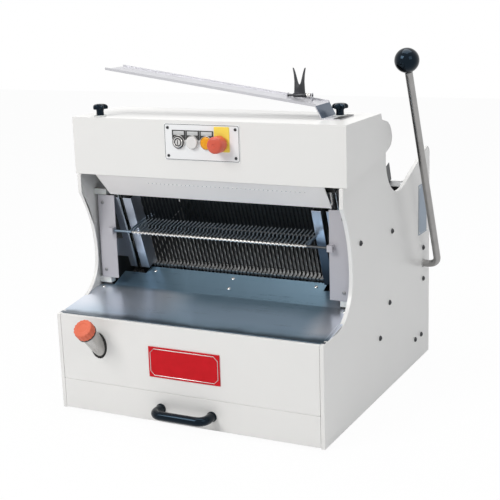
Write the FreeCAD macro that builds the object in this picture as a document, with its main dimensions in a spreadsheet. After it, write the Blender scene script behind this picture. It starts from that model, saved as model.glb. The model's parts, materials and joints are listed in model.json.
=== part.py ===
"""Table-top bread slicer: two reciprocating blade frames, a lever-fed pusher and a crumb drawer.

Lengths are millimetres and angles are degrees. The machine's frame has +X to the operator's
right, +Y to the rear and +Z up, with its origin on the floor at the centre of the footprint.
"""

import FreeCAD
import Part
import Sketcher
import math
import operator
import os

X_AXIS = FreeCAD.Vector(1, 0, 0)
Y_AXIS = FreeCAD.Vector(0, 1, 0)
Z_AXIS = FreeCAD.Vector(0, 0, 1)
RIGHT = 1
LEFT = -1
SIDES = {"left": LEFT, "right": RIGHT}

doc = FreeCAD.newDocument("BreadSlicer")
sheet = doc.addObject("Spreadsheet::Sheet", "Sizes")
parts = []


# ---------------------------------------------------------------- sizes that carry their formula

class Dim:
    """A number together with the sheet expression that gives it."""

    def __init__(self, text, value):
        self.text = text
        self.value = value

    def __add__(self, other):
        return joined(self, "+", other)

    def __radd__(self, other):
        return joined(other, "+", self)

    def __sub__(self, other):
        return joined(self, "-", other)

    def __rsub__(self, other):
        return joined(other, "-", self)

    def __mul__(self, other):
        return joined(self, "*", other)

    def __rmul__(self, other):
        return joined(other, "*", self)

    def __truediv__(self, other):
        return joined(self, "/", other)

    def __rtruediv__(self, other):
        return joined(other, "/", self)

    def __neg__(self):
        return joined(-1, "*", self)


SIGNS = {"+": operator.add, "-": operator.sub, "*": operator.mul, "/": operator.truediv}


def dim(number):
    """The number as a Dim."""
    if isinstance(number, Dim):
        return number
    return Dim("(%r)" % float(number), float(number))


def joined(first, sign, second):
    first = dim(first)
    second = dim(second)
    text = "(%s %s %s)" % (first.text, sign, second.text)
    return Dim(text, SIGNS[sign](first.value, second.value))


def sine(angle):
    return Dim("sin(%s)" % angle.text, math.sin(math.radians(angle.value)))


def cosine(angle):
    return Dim("cos(%s)" % angle.text, math.cos(math.radians(angle.value)))


def tangent(angle):
    return Dim("tan(%s)" % angle.text, math.tan(math.radians(angle.value)))


def size(alias, value):
    """Writes one driving size in the next row of the sheet."""
    size.row += 1
    sheet.set("A%d" % size.row, alias)
    sheet.set("B%d" % size.row, str(value))
    sheet.setAlias("B%d" % size.row, alias)
    return Dim("Sizes.%s" % alias, float(value))


size.row = 0

# ---------------------------------------------------------------- driving sizes

# casing
body_width = size("body_width", 640)
body_depth = size("body_depth", 675)
floor_gap = size("floor_gap", 4)
skin = size("skin_thickness", 2)
rim = size("panel_rim", 9)
fit_gap = size("fit_gap", 0.5)
front_height = size("front_height", 220)
drawer_height = size("drawer_height", 70)
lip_run = size("lip_run", 69)
lip_rise = size("lip_rise", 4)
throat_radius = size("throat_radius", 92)
brow_radius = size("brow_radius", 260)
brow_reach = size("brow_reach", 49)
brow_height = size("brow_height", 472)
neck_run = size("neck_run", 364)
neck_height = size("neck_height", 529)
dip_run = size("dip_run", 450)
dip_height = size("dip_height", 450)
dip_radius = size("dip_radius", 85)
shoulder_run = size("shoulder_run", 497)
shoulder_height = size("shoulder_height", 460)
shoulder_radius = size("shoulder_radius", 110)
rear_top = size("rear_top", 522)
rear_corner = size("rear_corner", 20)
foot_radius = size("foot_radius", 18)
foot_inset = size("foot_inset", 60)
pan_height = size("pan_height", 8)
pan_wall = size("pan_wall", 22)
gland_inset = size("gland_inset", 80)
gland_height = size("gland_height", 60)
gland_radius = size("gland_radius", 11.5)
gland_bore = size("gland_bore", 5)

# head
head_front = size("head_front", 117)
head_depth = size("head_depth", 200)
head_bottom = size("head_bottom", 514)
head_top = size("head_top", 641)
head_overhang = size("head_overhang", 6.5)
cheek_skin = size("cheek_skin", 2.5)
cheek_run = size("cheek_run", 386)
cheek_bottom = size("cheek_bottom", 552)
apron_angle = size("apron_angle", 48)
apron_length = size("apron_length", 71)
apron_top_inset = size("apron_top_inset", 44)
apron_bottom_inset = size("apron_bottom_inset", 48)
tie_bar = size("tie_bar", 25)

# feed line: its origin is where the blades cross the table
feed_angle = size("feed_angle", 20)
nose_run = size("nose_run", 266)
nose_height = size("nose_height", 288)
table_gap = size("table_gap", 5)
channel_inset = size("channel_inset", 98)
channel_wall = size("channel_wall", 45)
rail_tube = size("rail_tube", 25)
front_rail_place = size("front_rail_place", 60)
rear_rail_inset = size("rear_rail_inset", 33)

# blades and their frames
blade_count = 46
blade_margin = size("blade_margin", 8.25)
blade_thickness = size("blade_thickness", 0.7)
blade_width = size("blade_width", 11)
stroke = size("blade_stroke", 28)
beam_width = size("beam_width", 18)
beam_offset = size("beam_offset", 6)
beam_bottom = size("beam_bottom", 62)
beam_top = size("beam_top", 246)
upright_inset = size("upright_inset", 92)
upright_width = size("upright_width", 16)
hook_height = size("hook_height", 4)
hook_width = size("hook_width", 2.4)
guide_inset = size("guide_inset", 54)
block_inset = size("block_inset", 70)
guide_offset = size("guide_offset", 16)
guide_radius = size("guide_radius", 7)
slide_length = size("slide_length", 32)
slide_width = size("slide_width", 40)
slide_depth = size("slide_depth", 28)
running_gap = size("running_gap", 0.05)
working_gap = size("working_gap", 2)

# drive
shaft_radius = size("shaft_radius", 10)
crank_throw = size("crank_throw", 14)
eccentric_radius = size("eccentric_radius", 16)
eccentric_width = size("eccentric_width", 14)
yoke_width = size("yoke_width", 10)
yoke_wall = size("yoke_wall", 7)
front_yoke_inset = size("front_yoke_inset", 150)
rear_yoke_inset = size("rear_yoke_inset", 125)
crank_pulley_radius = size("crank_pulley_radius", 40)
motor_pulley_radius = size("motor_pulley_radius", 18)
pulley_inset = size("pulley_inset", 49)
pulley_width = size("pulley_width", 14)
flange_width = size("flange_width", 3)
flange_height = size("flange_height", 6)
belt_thickness = size("belt_thickness", 6)
belt_side_gap = size("belt_side_gap", 0.5)
belt_gap = size("belt_gap", 0.3)
motor_rear_gap = size("motor_rear_gap", 135)
motor_height = size("motor_height", 108)
motor_radius = size("motor_radius", 60)
motor_length = size("motor_length", 190)
motor_inset = size("motor_inset", 95)
motor_shaft_radius = size("motor_shaft_radius", 9.5)
bearing_block = size("bearing_block", 56)
bearing_width = size("bearing_width", 28)

# lever and pusher
lever_rear_gap = size("lever_rear_gap", 48)
lever_height = size("lever_height", 238)
lever_angle = size("lever_angle", 24.8)
back_angle = size("back_angle", 7)
forward_angle = size("forward_angle", 42)
lever_reach = size("lever_reach", 38)
lever_length = size("lever_length", 560)
lever_radius = size("lever_radius", 8.5)
lever_bend = size("lever_bend", 22)
knob_radius = size("knob_radius", 27)
arm_lead_angle = size("arm_lead_angle", 8)
arm_inset = size("arm_inset", 38)
arm_thickness = size("arm_thickness", 8)
arm_width = size("arm_width", 40)
arm_hub = size("arm_hub", 22)
slot_spare = size("slot_spare", 4)
slot_radius = size("slot_radius", 12)
slot_balance = size("slot_balance", 3.2)
pin_radius = size("pin_radius", 8)
pin_drop = size("pin_drop", 14.5)
pin_length = size("pin_length", 30)
rod_inset = size("rod_inset", 70)
rod_radius = size("rod_radius", 7)
runner_length = size("runner_length", 28)
runner_spacing = size("runner_spacing", 112)
push_gap = size("push_gap", 23)
push_margin = size("push_margin", 8)
push_height = size("push_height", 92)
push_lift = size("push_lift", 3)

# delivery side
tray_front = size("tray_front", 8)
tray_flat = size("tray_flat", 24)
tray_knee = size("tray_knee", 176)
tray_rear = size("tray_rear", 253)
tray_angle = size("tray_angle", 8)
tray_rise_angle = size("tray_rise_angle", 21.7)
tongue_margin = size("tongue_margin", 3)
tray_notch = size("tray_notch", 228)
tray_shoulder = size("tray_shoulder", 178)
tray_shoulder_inset = size("tray_shoulder_inset", 37)
post_front = size("post_front", 170)
post_inset = size("post_inset", 56)
post_width = size("post_width", 44)
post_depth = size("post_depth", 22)
post_bottom = size("post_bottom", 263)
post_top = size("post_top", 457)
block_width = size("block_width", 16)
block_height = size("block_height", 14)
clip_width = size("clip_width", 12)
cover_width = size("cover_width", 22)
cover_bottom = size("cover_bottom", -4)
cover_top = size("cover_top", 185)
strip_width = size("strip_width", 18)
strip_gap = size("strip_gap", 12)
hold_run = size("hold_run", 163)
hold_height = size("hold_height", 377)
hold_radius = size("hold_radius", 3)
hold_arm_inset = size("hold_arm_inset", 4)
hold_angle = size("hold_angle", 12.5)
hold_arm_length = size("hold_arm_length", 98)
finger_length = size("finger_length", 76)
finger_radius = size("finger_radius", 1.25)
screw_radius = size("screw_radius", 4)
screw_height = size("screw_height", 2.2)

# controls
panel_width = size("panel_width", 180)
panel_height = size("panel_height", 78)
panel_thickness = size("panel_thickness", 1.5)
control_height = size("control_height", 595)
device_pitch = size("device_pitch", 33.5)
device_start = size("device_start", 54)
device_hole = size("device_hole", 11)
bezel_radius = size("bezel_radius", 15)
bezel_height = size("bezel_height", 4)
button_radius = size("button_radius", 13)
button_height = size("button_height", 7)
button_travel = size("button_travel", 3)
stop_radius = size("stop_radius", 18)
stop_height = size("stop_height", 33)
stop_travel = size("stop_travel", 4)
contact_block = size("contact_block", 26)

# top of the head
left_knob_inset = size("left_knob_inset", 52)
left_knob_run = size("left_knob_run", 142)
right_knob_inset = size("right_knob_inset", 56)
right_knob_run = size("right_knob_run", 240)
stud_radius = size("stud_radius", 4)
knob_stem = size("knob_stem", 8.5)
knob_stem_height = size("knob_stem_height", 15)
knob_head = size("knob_head", 12)
knob_head_height = size("knob_head_height", 10)
lobe_radius = size("lobe_radius", 6)
lobe_place = size("lobe_place", 12)
washer_radius = size("washer_radius", 14)
washer_height = size("washer_height", 2.5)
rack_front = size("rack_front", 188)
rack_width = size("rack_width", 76)
rack_foot_inset = size("rack_foot_inset", 35)
rack_riser_inset = size("rack_riser_inset", 75)
rack_crest_inset = size("rack_crest_inset", 89)
rack_crest_height = size("rack_crest_height", 26)
rack_tip_inset = size("rack_tip_inset", 41)
rack_thickness = size("rack_thickness", 2)
rack_angle = size("rack_angle", 8)
fork_inset = size("fork_inset", 148)
fork_run = size("fork_run", 243)
fork_width = size("fork_width", 30)
fork_height = size("fork_height", 58)

# front of the body
neck_inset = size("neck_inset", 106)
filler_height = size("filler_height", 158)
filler_angle = size("filler_angle", 45)
filler_radius = size("filler_radius", 18)
filler_length = size("filler_length", 56)
filler_wall = size("filler_wall", 2)
cap_radius = size("cap_radius", 22)
cap_height = size("cap_height", 20)
seal_height = size("seal_height", 3)
plate_width = size("nameplate_width", 172)
plate_height = size("nameplate_height", 68)
plate_centre = size("nameplate_centre", 138)
drawer_depth = size("drawer_depth", 298)
drawer_inset = size("drawer_inset", 50)
drawer_wall = size("drawer_wall", 1.5)
drawer_pan_height = size("drawer_pan_height", 36)
runner_height = size("runner_height", 4)
handle_centres = size("handle_centres", 124)
handle_reach = size("handle_reach", 38)
handle_radius = size("handle_radius", 10)
handle_height = size("handle_height", 33)
bolt_radius = size("bolt_radius", 6)
bolt_head = size("bolt_head", 4)

# sizes that follow from those above
front = -body_depth / 2
half = body_width / 2
inner_half = half - skin
between_rims = body_width - 2 * (rim + fit_gap)
throat_run = lip_run + throat_radius
throat_height = front_height + lip_rise + throat_radius
plate_face = head_front - panel_thickness
tray_knee_height = front_height + skin + (tray_knee - tray_flat) * tangent(tray_angle)
tray_rear_height = tray_knee_height + (tray_rear - tray_knee) * tangent(tray_rise_angle)

# across the machine: places measured inwards from the casing's sides
channel_width = body_width - 2 * channel_inset
blade_pitch = (channel_width - 2 * blade_margin) / (blade_count - 1)
apron_top_width = body_width - 2 * apron_top_inset
apron_bottom_width = body_width - 2 * apron_bottom_inset
tray_tongue = channel_width + 2 * tongue_margin
push_width = channel_width - 2 * push_margin
drawer_width = body_width - 2 * drawer_inset
gland_place = half - gland_inset
upright_inside = half - upright_inset
guide_place = half - guide_inset
cover_inside = channel_width / 2
strip_inside = cover_inside + cover_width + strip_gap
block_inside = half - block_inset
front_yoke_place = half - front_yoke_inset
rear_yoke_place = half - rear_yoke_inset
pulley_place = half - pulley_inset
motor_place = half - motor_inset
lever_place = half + lever_reach
arm_place = half - arm_inset
rod_place = half - rod_inset
post_inside = half - post_inset
rack_foot = half - rack_foot_inset
rack_riser = half - rack_riser_inset
rack_crest = half - rack_crest_inset
rack_length = rack_crest + half - rack_tip_inset
fork_place = half - fork_inset
neck_place = half - neck_inset
KNOBS = {"left": (left_knob_inset - half, left_knob_run),
         "right": (half - right_knob_inset, right_knob_run)}

# along the machine: places measured forwards from its back
lever_run = body_depth - lever_rear_gap
motor_run = body_depth - motor_rear_gap
table_length = (body_depth - table_gap - nose_run) / cosine(feed_angle)
rear_rail_place = table_length - rear_rail_inset

# the yokes' windows and the crankshaft's level
window_half = eccentric_radius + crank_throw + stroke / 2 + working_gap
window_reach = eccentric_radius + crank_throw + working_gap
yoke_top = -beam_bottom - stroke - 3 * working_gap
crank_level = yoke_top - yoke_wall - window_half

# the lever's arms and the pusher's travel
pivot_place = ((lever_run - nose_run) * cosine(feed_angle)
               + (lever_height - nose_height) * sine(feed_angle))
pivot_level = ((lever_height - nose_height) * cosine(feed_angle)
               - (lever_run - nose_run) * sine(feed_angle))
arm_reach = -pin_drop - pivot_level
arm_first = -arm_lead_angle - back_angle
arm_last = forward_angle - arm_lead_angle
slot_bottom = arm_reach - slot_spare
slot_top = arm_reach / cosine(arm_last) + slot_spare
pin_travel = arm_reach * (tangent(arm_last) - tangent(arm_first))
back_share = back_angle / (back_angle + forward_angle)
pin_advance = arm_reach * tangent(arm_first) - slot_balance + pin_travel * back_share
pin_place = pivot_place - pin_advance
face_place = push_gap + pin_travel * (1 - back_share)


# ---------------------------------------------------------------- frames of reference

class Space:
    """A frame turned about X: its origin and tilt are given in the machine's frame."""

    def __init__(self, y, z, tilt=None):
        self.y = dim(y)
        self.z = dim(z)
        self.tilt = tilt

    def point(self, y, z):
        """The machine-frame (y, z) of a point of this frame."""
        if self.tilt is None:
            return self.y + y, self.z + z
        run = self.y + dim(y) * cosine(self.tilt) - dim(z) * sine(self.tilt)
        height = self.z + dim(y) * sine(self.tilt) + dim(z) * cosine(self.tilt)
        return run, height

    def place(self, item, x, y, z, turn=None, about=X_AXIS):
        """Moves an object's own origin to x, y, z of this frame and tilts it with the frame."""
        run, height = self.point(y, z)
        across = dim(x)
        spot = FreeCAD.Vector(across.value, run.value, height.value)
        tilt = self.tilt if about is X_AXIS else None
        if turn is not None:
            tilt = dim(turn) if tilt is None else tilt + turn
        spin = FreeCAD.Rotation()
        if tilt is not None:
            spin = FreeCAD.Rotation(about, tilt.value)
        item.Placement = FreeCAD.Placement(spot, spin)
        item.setExpression("Placement.Base.x", across.text)
        item.setExpression("Placement.Base.y", run.text)
        item.setExpression("Placement.Base.z", height.text)
        if tilt is not None:
            item.setExpression("Placement.Rotation.Angle", tilt.text)
        return item


machine = Space(front, floor_gap)
feed = Space(front + nose_run, floor_gap + nose_height, feed_angle)
lever_axis = Space(front + lever_run, floor_gap + lever_height, lever_angle)
arm_axis = Space(front + lever_run, floor_gap + lever_height, feed_angle - arm_lead_angle)
tray_axis = Space(front + tray_flat, floor_gap + front_height + skin, tray_angle)
tray_rise_axis = Space(front + tray_knee, floor_gap + tray_knee_height, tray_rise_angle)
filler_axis = Space(front, floor_gap + filler_height, -filler_angle)


# ---------------------------------------------------------------- primitives and booleans

def box(name, space, corner, extent):
    """A block from its lowest corner in a space, with its extents along X, Y and Z."""
    item = doc.addObject("Part::Box", name)
    for prop, amount in zip(("Length", "Width", "Height"), extent):
        item.setExpression(prop, dim(amount).text)
    return space.place(item, *corner)


def centred_box(name, space, x, y, z, extent):
    """A block centred on x, standing back from y and up from z."""
    return box(name, space, (dim(x) - dim(extent[0]) / 2, y, z), extent)


TURNS = {"x": (90, Y_AXIS), "y": (-90, X_AXIS), "z": (None, X_AXIS)}


def rod(name, space, along, start, radius, length):
    """A round bar from its start along x, y or z of a space."""
    item = doc.addObject("Part::Cylinder", name)
    item.setExpression("Radius", dim(radius).text)
    item.setExpression("Height", dim(length).text)
    turn, about = TURNS[along]
    return space.place(item, *start, turn=turn, about=about)


def fuse(name, pieces):
    item = doc.addObject("Part::MultiFuse", name)
    item.Shapes = pieces
    return item


def cut(name, base, tools):
    """The base without the tools."""
    tool = tools[0]
    if len(tools) > 1:
        tool = doc.addObject("Part::Compound", name + "_tools")
        tool.Links = tools
    item = doc.addObject("Part::Cut", name)
    item.Base = base
    item.Tool = tool
    return item


def group(name, pieces):
    """Separate solids that share one node."""
    item = doc.addObject("Part::Compound", name)
    item.Links = pieces
    return item


def part(label, item):
    """Enters a finished sub-part under the name of its file."""
    item.Label = label
    parts.append(item)
    return item


# ---------------------------------------------------------------- sketched bodies

PLANES = {"yz": "YZ_Plane", "xz": "XZ_Plane", "xy": "XY_Plane"}


def new_body(name, space=machine, x=0, y=0, z=0):
    body = doc.addObject("PartDesign::Body", name)
    space.place(body, x, y, z)
    return body


def blank_sketch(body, name, plane):
    sketch = body.newObject("Sketcher::SketchObject", name)
    for feature in body.Origin.OriginFeatures:
        if feature.Role == PLANES[plane]:
            sketch.AttachmentSupport = [(feature, "")]
    sketch.MapMode = "FlatFace"
    return sketch


def fix(sketch, name, constraint, amount):
    index = sketch.addConstraint(constraint)
    sketch.renameConstraint(index, name)
    sketch.setExpression("Constraints." + name, dim(amount).text)


def arc_between(start, end, radius, side):
    """The short arc from start to end; side 1 has its centre on the left of the way."""
    middle = (start + end) * 0.5
    chord = end - start
    rise = math.sqrt(max(radius * radius - chord.Length ** 2 / 4, 0))
    across = FreeCAD.Vector(-chord.y, chord.x, 0).normalize()
    centre = middle + across * (rise * side)
    first = start if side == 1 else end
    last = end if side == 1 else start
    first_angle = math.atan2(first.y - centre.y, first.x - centre.x)
    last_angle = math.atan2(last.y - centre.y, last.x - centre.x)
    circle = Part.Circle(centre, FreeCAD.Vector(0, 0, 1), radius)
    return Part.ArcOfCircle(circle, first_angle, last_angle)


def outline(body, name, plane, corners):
    """A closed sketch through corners (across, up); (across, up, radius, side) ends an arc."""
    sketch = blank_sketch(body, name, plane)
    count = len(corners)
    ends = []
    for index in range(count):
        here = corners[index]
        there = corners[(index + 1) % count]
        start = FreeCAD.Vector(dim(here[0]).value, dim(here[1]).value, 0)
        end = FreeCAD.Vector(dim(there[0]).value, dim(there[1]).value, 0)
        if len(there) == 2:
            sketch.addGeometry(Part.LineSegment(start, end))
            ends.append((1, 2))
            continue
        radius, side = there[2], there[3]
        sketch.addGeometry(arc_between(start, end, dim(radius).value, side))
        ends.append((1, 2) if side == 1 else (2, 1))
    for index in range(count):
        after = (index + 1) % count
        joint = Sketcher.Constraint("Coincident", index, ends[index][1], after, ends[after][0])
        sketch.addConstraint(joint)
    for index, corner in enumerate(corners):
        for name_part, kind, amount in (("across", "DistanceX", corner[0]),
                                        ("up", "DistanceY", corner[1])):
            rule = Sketcher.Constraint(kind, -1, 1, index, ends[index][0], dim(amount).value)
            fix(sketch, name_part + str(index), rule, amount)
        if len(corner) == 4:
            before = (index - 1) % count
            rule = Sketcher.Constraint("Radius", before, dim(corner[2]).value)
            fix(sketch, "radius" + str(index), rule, corner[2])
    return sketch


def pad(body, sketch, length, symmetric=False, reverse=False):
    feature = body.newObject("PartDesign::Pad", sketch.Name + "_pad")
    feature.Profile = sketch
    feature.setExpression("Length", dim(length).text)
    feature.SideType = "Symmetric" if symmetric else "One side"
    feature.Reversed = reverse
    body.Tip = feature
    return feature


def pocket(body, sketch, length, symmetric=False, reverse=False):
    feature = body.newObject("PartDesign::Pocket", sketch.Name + "_pocket")
    feature.Profile = sketch
    feature.setExpression("Length", dim(length).text)
    feature.SideType = "Symmetric" if symmetric else "One side"
    feature.Reversed = reverse
    body.Tip = feature
    return feature


def profile_body(name, corners, length, space=machine, x=0):
    """A section in the Y-Z plane, padded equally to both sides of x."""
    body = new_body(name, space, x)
    pad(body, outline(body, name + "_outline", "yz", corners), length, symmetric=True)
    return body


# ---------------------------------------------------------------- casing

def side_outline():
    """A side panel's outline: throat, brow, neck inside the head, dip and shoulder."""
    hidden = head_front + cheek_skin + skin
    return [
        (0, 0),
        (0, front_height),
        (lip_run, front_height + lip_rise),
        (throat_run, throat_height, throat_radius, 1),
        (throat_run - brow_reach, brow_height, brow_radius, 1),
        (throat_run - brow_reach, head_bottom - fit_gap),
        (hidden, head_bottom - fit_gap),
        (hidden, head_top - rim),
        (head_front + head_depth - cheek_skin - skin, head_top - rim),
        (head_front + head_depth - cheek_skin - skin, cheek_bottom + skin),
        (neck_run, cheek_bottom + skin),
        (neck_run, neck_height),
        (dip_run, dip_height, dip_radius, 1),
        (shoulder_run, shoulder_height, shoulder_radius, 1),
        (body_depth - rear_corner, rear_top),
        (body_depth, rear_top - rear_corner, rear_corner, -1),
        (body_depth, 0),
    ]


def inner_face(feature, x):
    """The name of the flat face of a feature that lies in the plane at x of its body."""
    for index, face in enumerate(feature.Shape.Faces):
        bounds = face.BoundBox
        if abs(bounds.XMin - x) < 0.001 and bounds.XLength < 0.001:
            return "Face%d" % (index + 1)
    raise RuntimeError("no inner face on " + feature.Name)


def side_panel(side_name, side):
    """A folded sheet: an outer skin with a rim turned inwards all round."""
    body = new_body("side_" + side_name, machine, side * (half - rim))
    sketch = outline(body, "side_%s_outline" % side_name, "yz", side_outline())
    solid = pad(body, sketch, rim, reverse=(side == LEFT))
    doc.recompute()
    shell = body.newObject("PartDesign::Thickness", "side_%s_shell" % side_name)
    shell.Base = (solid, [inner_face(solid, 0)])
    shell.setExpression("Value", skin.text)
    shell.Reversed = True
    shell.Join = "Intersection"
    body.Tip = shell
    panel = body
    if side == RIGHT:
        shaft_hole = rod("side_shaft_hole", lever_axis, "x", (inner_half, 0, 0),
                         shaft_radius + fit_gap, skin)
        panel = cut("side_right_cut", body, [shaft_hole])
    part("side_panel_" + side_name, panel)


for side_name, side in SIDES.items():
    side_panel(side_name, side)


def front_panel():
    """A folded channel under the tray's lip, with the filler neck's slanted hole."""
    low = drawer_height + skin
    shelf = 20
    lip = 14
    corners = [
        (0, low), (0, front_height), (shelf, front_height), (shelf, front_height - lip),
        (shelf - skin, front_height - lip), (shelf - skin, front_height - skin),
        (skin, front_height - skin), (skin, low + skin), (lip, low + skin), (lip, low),
    ]
    body = profile_body("front_channel", corners, between_rims)
    hole = rod("front_filler_hole", filler_axis, "y", (-neck_place, -filler_length, 0),
               filler_radius + seal_height, 3 * filler_length)
    part("front_panel", cut("front_panel_cut", body, [hole]))


front_panel()


def drawer_runners():
    """Two stepped strips on the pan that carry and guide the crumb drawer."""
    strips = []
    for side_name, side in SIDES.items():
        strips.append(centred_box("runner_strip_" + side_name, machine,
                                  side * (drawer_width / 2 - rim / 2), rim, pan_height + skin,
                                  (3 * rim, drawer_depth, runner_height)))
        strips.append(centred_box("runner_guide_" + side_name, machine,
                                  side * (drawer_width / 2 + fit_gap + skin / 2), rim,
                                  pan_height + skin + runner_height, (skin, drawer_depth, rim)))
    return strips


def base_pan():
    """A floor sheet with its side walls, the drawer's runners and the motor's plate."""
    width = between_rims
    length = body_depth - 2 * rim
    floor = centred_box("pan_floor", machine, 0, rim, pan_height, (width, length, skin))
    walls = []
    for side_name, side in SIDES.items():
        centre = side * (width - skin) / 2
        walls.append(centred_box("pan_wall_" + side_name, machine, centre, rim,
                                 pan_height + skin, (skin, length, pan_wall)))
    plate = centred_box("motor_plate", machine, motor_length / 2 - motor_place,
                        motor_run - motor_radius - 2 * rim, pan_height + skin,
                        (motor_length, 2 * motor_radius + 4 * rim, 2 * skin))
    part("base_pan", group("base_pan_group", [floor, plate] + walls + drawer_runners()))


base_pan()


def rubber_feet():
    feet = []
    for side_name, side in SIDES.items():
        for end_name, run in (("front", foot_inset), ("rear", body_depth - foot_inset)):
            feet.append(rod("foot_%s_%s" % (side_name, end_name), machine, "z",
                            (side * (half - foot_inset), run, -floor_gap),
                            foot_radius, pan_height + floor_gap))
    part("rubber_feet", group("rubber_feet_group", feet))


rubber_feet()


def rear_panel():
    """A flat sheet closed at the top by the table's end, with a row of vent slots."""
    top = nose_height + table_length * sine(feed_angle) - 3 * skin
    bottom = pan_height + skin
    slot_count = 9
    slot_pitch = 14
    slot_wide = 6
    slot_tall = 70
    slot_low = 70
    body = new_body("rear_sheet", machine, 0, body_depth - skin)
    half_width = between_rims / 2
    plate = outline(body, "rear_outline", "xz", [
        (-half_width, bottom), (half_width, bottom), (half_width, top), (-half_width, top)])
    pad(body, plate, skin, reverse=True)
    slot = outline(body, "rear_slot", "xz", [
        (-slot_count * slot_pitch, slot_low), (-slot_count * slot_pitch + slot_wide, slot_low),
        (-slot_count * slot_pitch + slot_wide, slot_low + slot_tall),
        (-slot_count * slot_pitch, slot_low + slot_tall)])
    first = pocket(body, slot, 4 * skin, symmetric=True)
    doc.recompute()
    pattern = body.newObject("PartDesign::LinearPattern", "rear_slots")
    pattern.Originals = [first]
    pattern.Direction = (slot, ["H_Axis"])
    pattern.Length = slot_pitch * (slot_count - 1)
    pattern.Occurrences = slot_count
    body.Tip = pattern
    hole = rod("rear_gland_hole", machine, "y", (-gland_place, body_depth - 2 * rim,
                                                 gland_height), gland_radius + fit_gap, 4 * rim)
    part("rear_panel", cut("rear_panel_cut", body, [hole]))


def cable_gland():
    """A gland for the supply cord: a threaded body, a nut outside and a lock nut inside."""
    nut_radius = 15
    nut_length = 8
    inside = 14
    outside = 20
    pieces = [
        rod("gland_body", machine, "y", (-gland_place, body_depth - inside, gland_height),
            gland_radius, inside + outside),
        rod("gland_nut", machine, "y", (-gland_place, body_depth + fit_gap / 4, gland_height),
            nut_radius, nut_length),
        rod("gland_lock_nut", machine, "y",
            (-gland_place, body_depth - skin - nut_length / 2 - fit_gap / 4, gland_height),
            nut_radius, nut_length / 2)]
    bore = rod("gland_bore", machine, "y", (-gland_place, body_depth - 2 * inside, gland_height),
               gland_bore, 2 * (inside + outside))
    part("cable_gland", cut("cable_gland_cut", fuse("gland_fuse", pieces), [bore]))


rear_panel()
cable_gland()

# ---------------------------------------------------------------- head

def head_cover():
    """A folded hood whose cheeks run on to the rear, with the control panel's openings."""
    rear = head_front + head_depth
    width = body_width + 2 * head_overhang
    step_run = 6
    step_drop = 14
    crest_run = 38
    crest_drop = 22
    crown_radius = 46
    tip_drop = 58
    heel_run = 16
    heel_drop = 80
    heel_radius = 22
    hem_run = 45
    hem_radius = 90
    hem_length = 86
    body = new_body("head_body")
    shell = outline(body, "head_outline", "yz", [
        (head_front, head_bottom), (head_front, head_top), (rear, head_top),
        (rear + step_run, head_top - step_drop), (rear + crest_run, head_top - crest_drop),
        (cheek_run, head_top - tip_drop, crown_radius, -1),
        (cheek_run - heel_run, head_top - heel_drop, heel_radius, -1),
        (cheek_run - hem_run, cheek_bottom, hem_radius, -1),
        (cheek_run - hem_length, cheek_bottom - rim),
    ])
    pad(body, shell, width, symmetric=True)
    inside = outline(body, "head_inside", "yz", [
        (head_front + cheek_skin, head_bottom - rim),
        (head_front + cheek_skin, head_top - cheek_skin),
        (rear - cheek_skin, head_top - cheek_skin),
        (rear - cheek_skin, cheek_bottom + rim),
        (cheek_run + rim, cheek_bottom + rim),
        (cheek_run + rim, head_bottom - rim)])
    pocket(body, inside, width - 2 * cheek_skin, symmetric=True)
    behind = outline(body, "head_behind", "yz", [
        (rear, cheek_bottom), (rear, head_top + rim), (cheek_run + rim, head_top + rim),
        (cheek_run + rim, cheek_bottom)])
    pocket(body, behind, width - 2 * cheek_skin, symmetric=True)
    holes = []
    for index in range(4):
        holes.append(rod("head_hole_%d" % index, machine, "y",
                         (device_x(index), head_front - rim, control_height),
                         device_hole + fit_gap, 2 * rim))
    for name, (x, run) in KNOBS.items():
        holes.append(rod("head_stud_hole_" + name, machine, "z",
                         (x, run, head_top - rim), stud_radius + fit_gap, 2 * rim))
    part("head_cover", cut("head_cut", body, holes))


def device_x(index):
    """The X of a control, counted from the left."""
    return index * device_pitch - device_start


def apron():
    """The hood's lower front sheet: a trapezium that slopes down and in."""
    run, height = machine.point(head_front + cheek_skin + 2 * fit_gap, head_bottom - 2 * fit_gap)
    space = Space(run, height, -apron_angle)
    body = new_body("apron_body", space)
    sheet_sketch = outline(body, "apron_outline", "xy", [
        (-apron_top_width / 2, 0), (apron_top_width / 2, 0),
        (apron_bottom_width / 2, apron_length), (-apron_bottom_width / 2, apron_length)])
    pad(body, sheet_sketch, skin)
    part("apron", body)


def head_ties():
    """Square bars that tie the side panels together inside the hood."""
    length = 2 * inner_half
    bars = []
    for name, run in (("front", head_front + 7 * rim),
                      ("rear", head_front + head_depth - 2 * tie_bar)):
        bars.append(centred_box("tie_" + name, machine, 0, run, head_top - 2 * tie_bar,
                                (length, tie_bar, tie_bar)))
    return bars


head_cover()
apron()


# ---------------------------------------------------------------- feed table

def infeed_table():
    """A folded trough: the loaf slides on its floor between its two walls."""
    half_width = channel_width / 2
    body = new_body("table_body", feed)
    trough = outline(body, "table_outline", "xz", [
        (-half_width - skin, -skin), (half_width + skin, -skin),
        (half_width + skin, channel_wall), (half_width, channel_wall),
        (half_width, 0), (-half_width, 0),
        (-half_width, channel_wall), (-half_width - skin, channel_wall)])
    pad(body, trough, table_length, reverse=True)
    mouth = outline(body, "table_mouth", "xz", [
        (-channel_width, -3 * skin), (channel_width, -3 * skin),
        (channel_width, 2 * channel_wall), (-channel_width, 2 * channel_wall)])
    pocket(body, mouth, blade_width, reverse=False)
    part("infeed_table", body)


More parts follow.
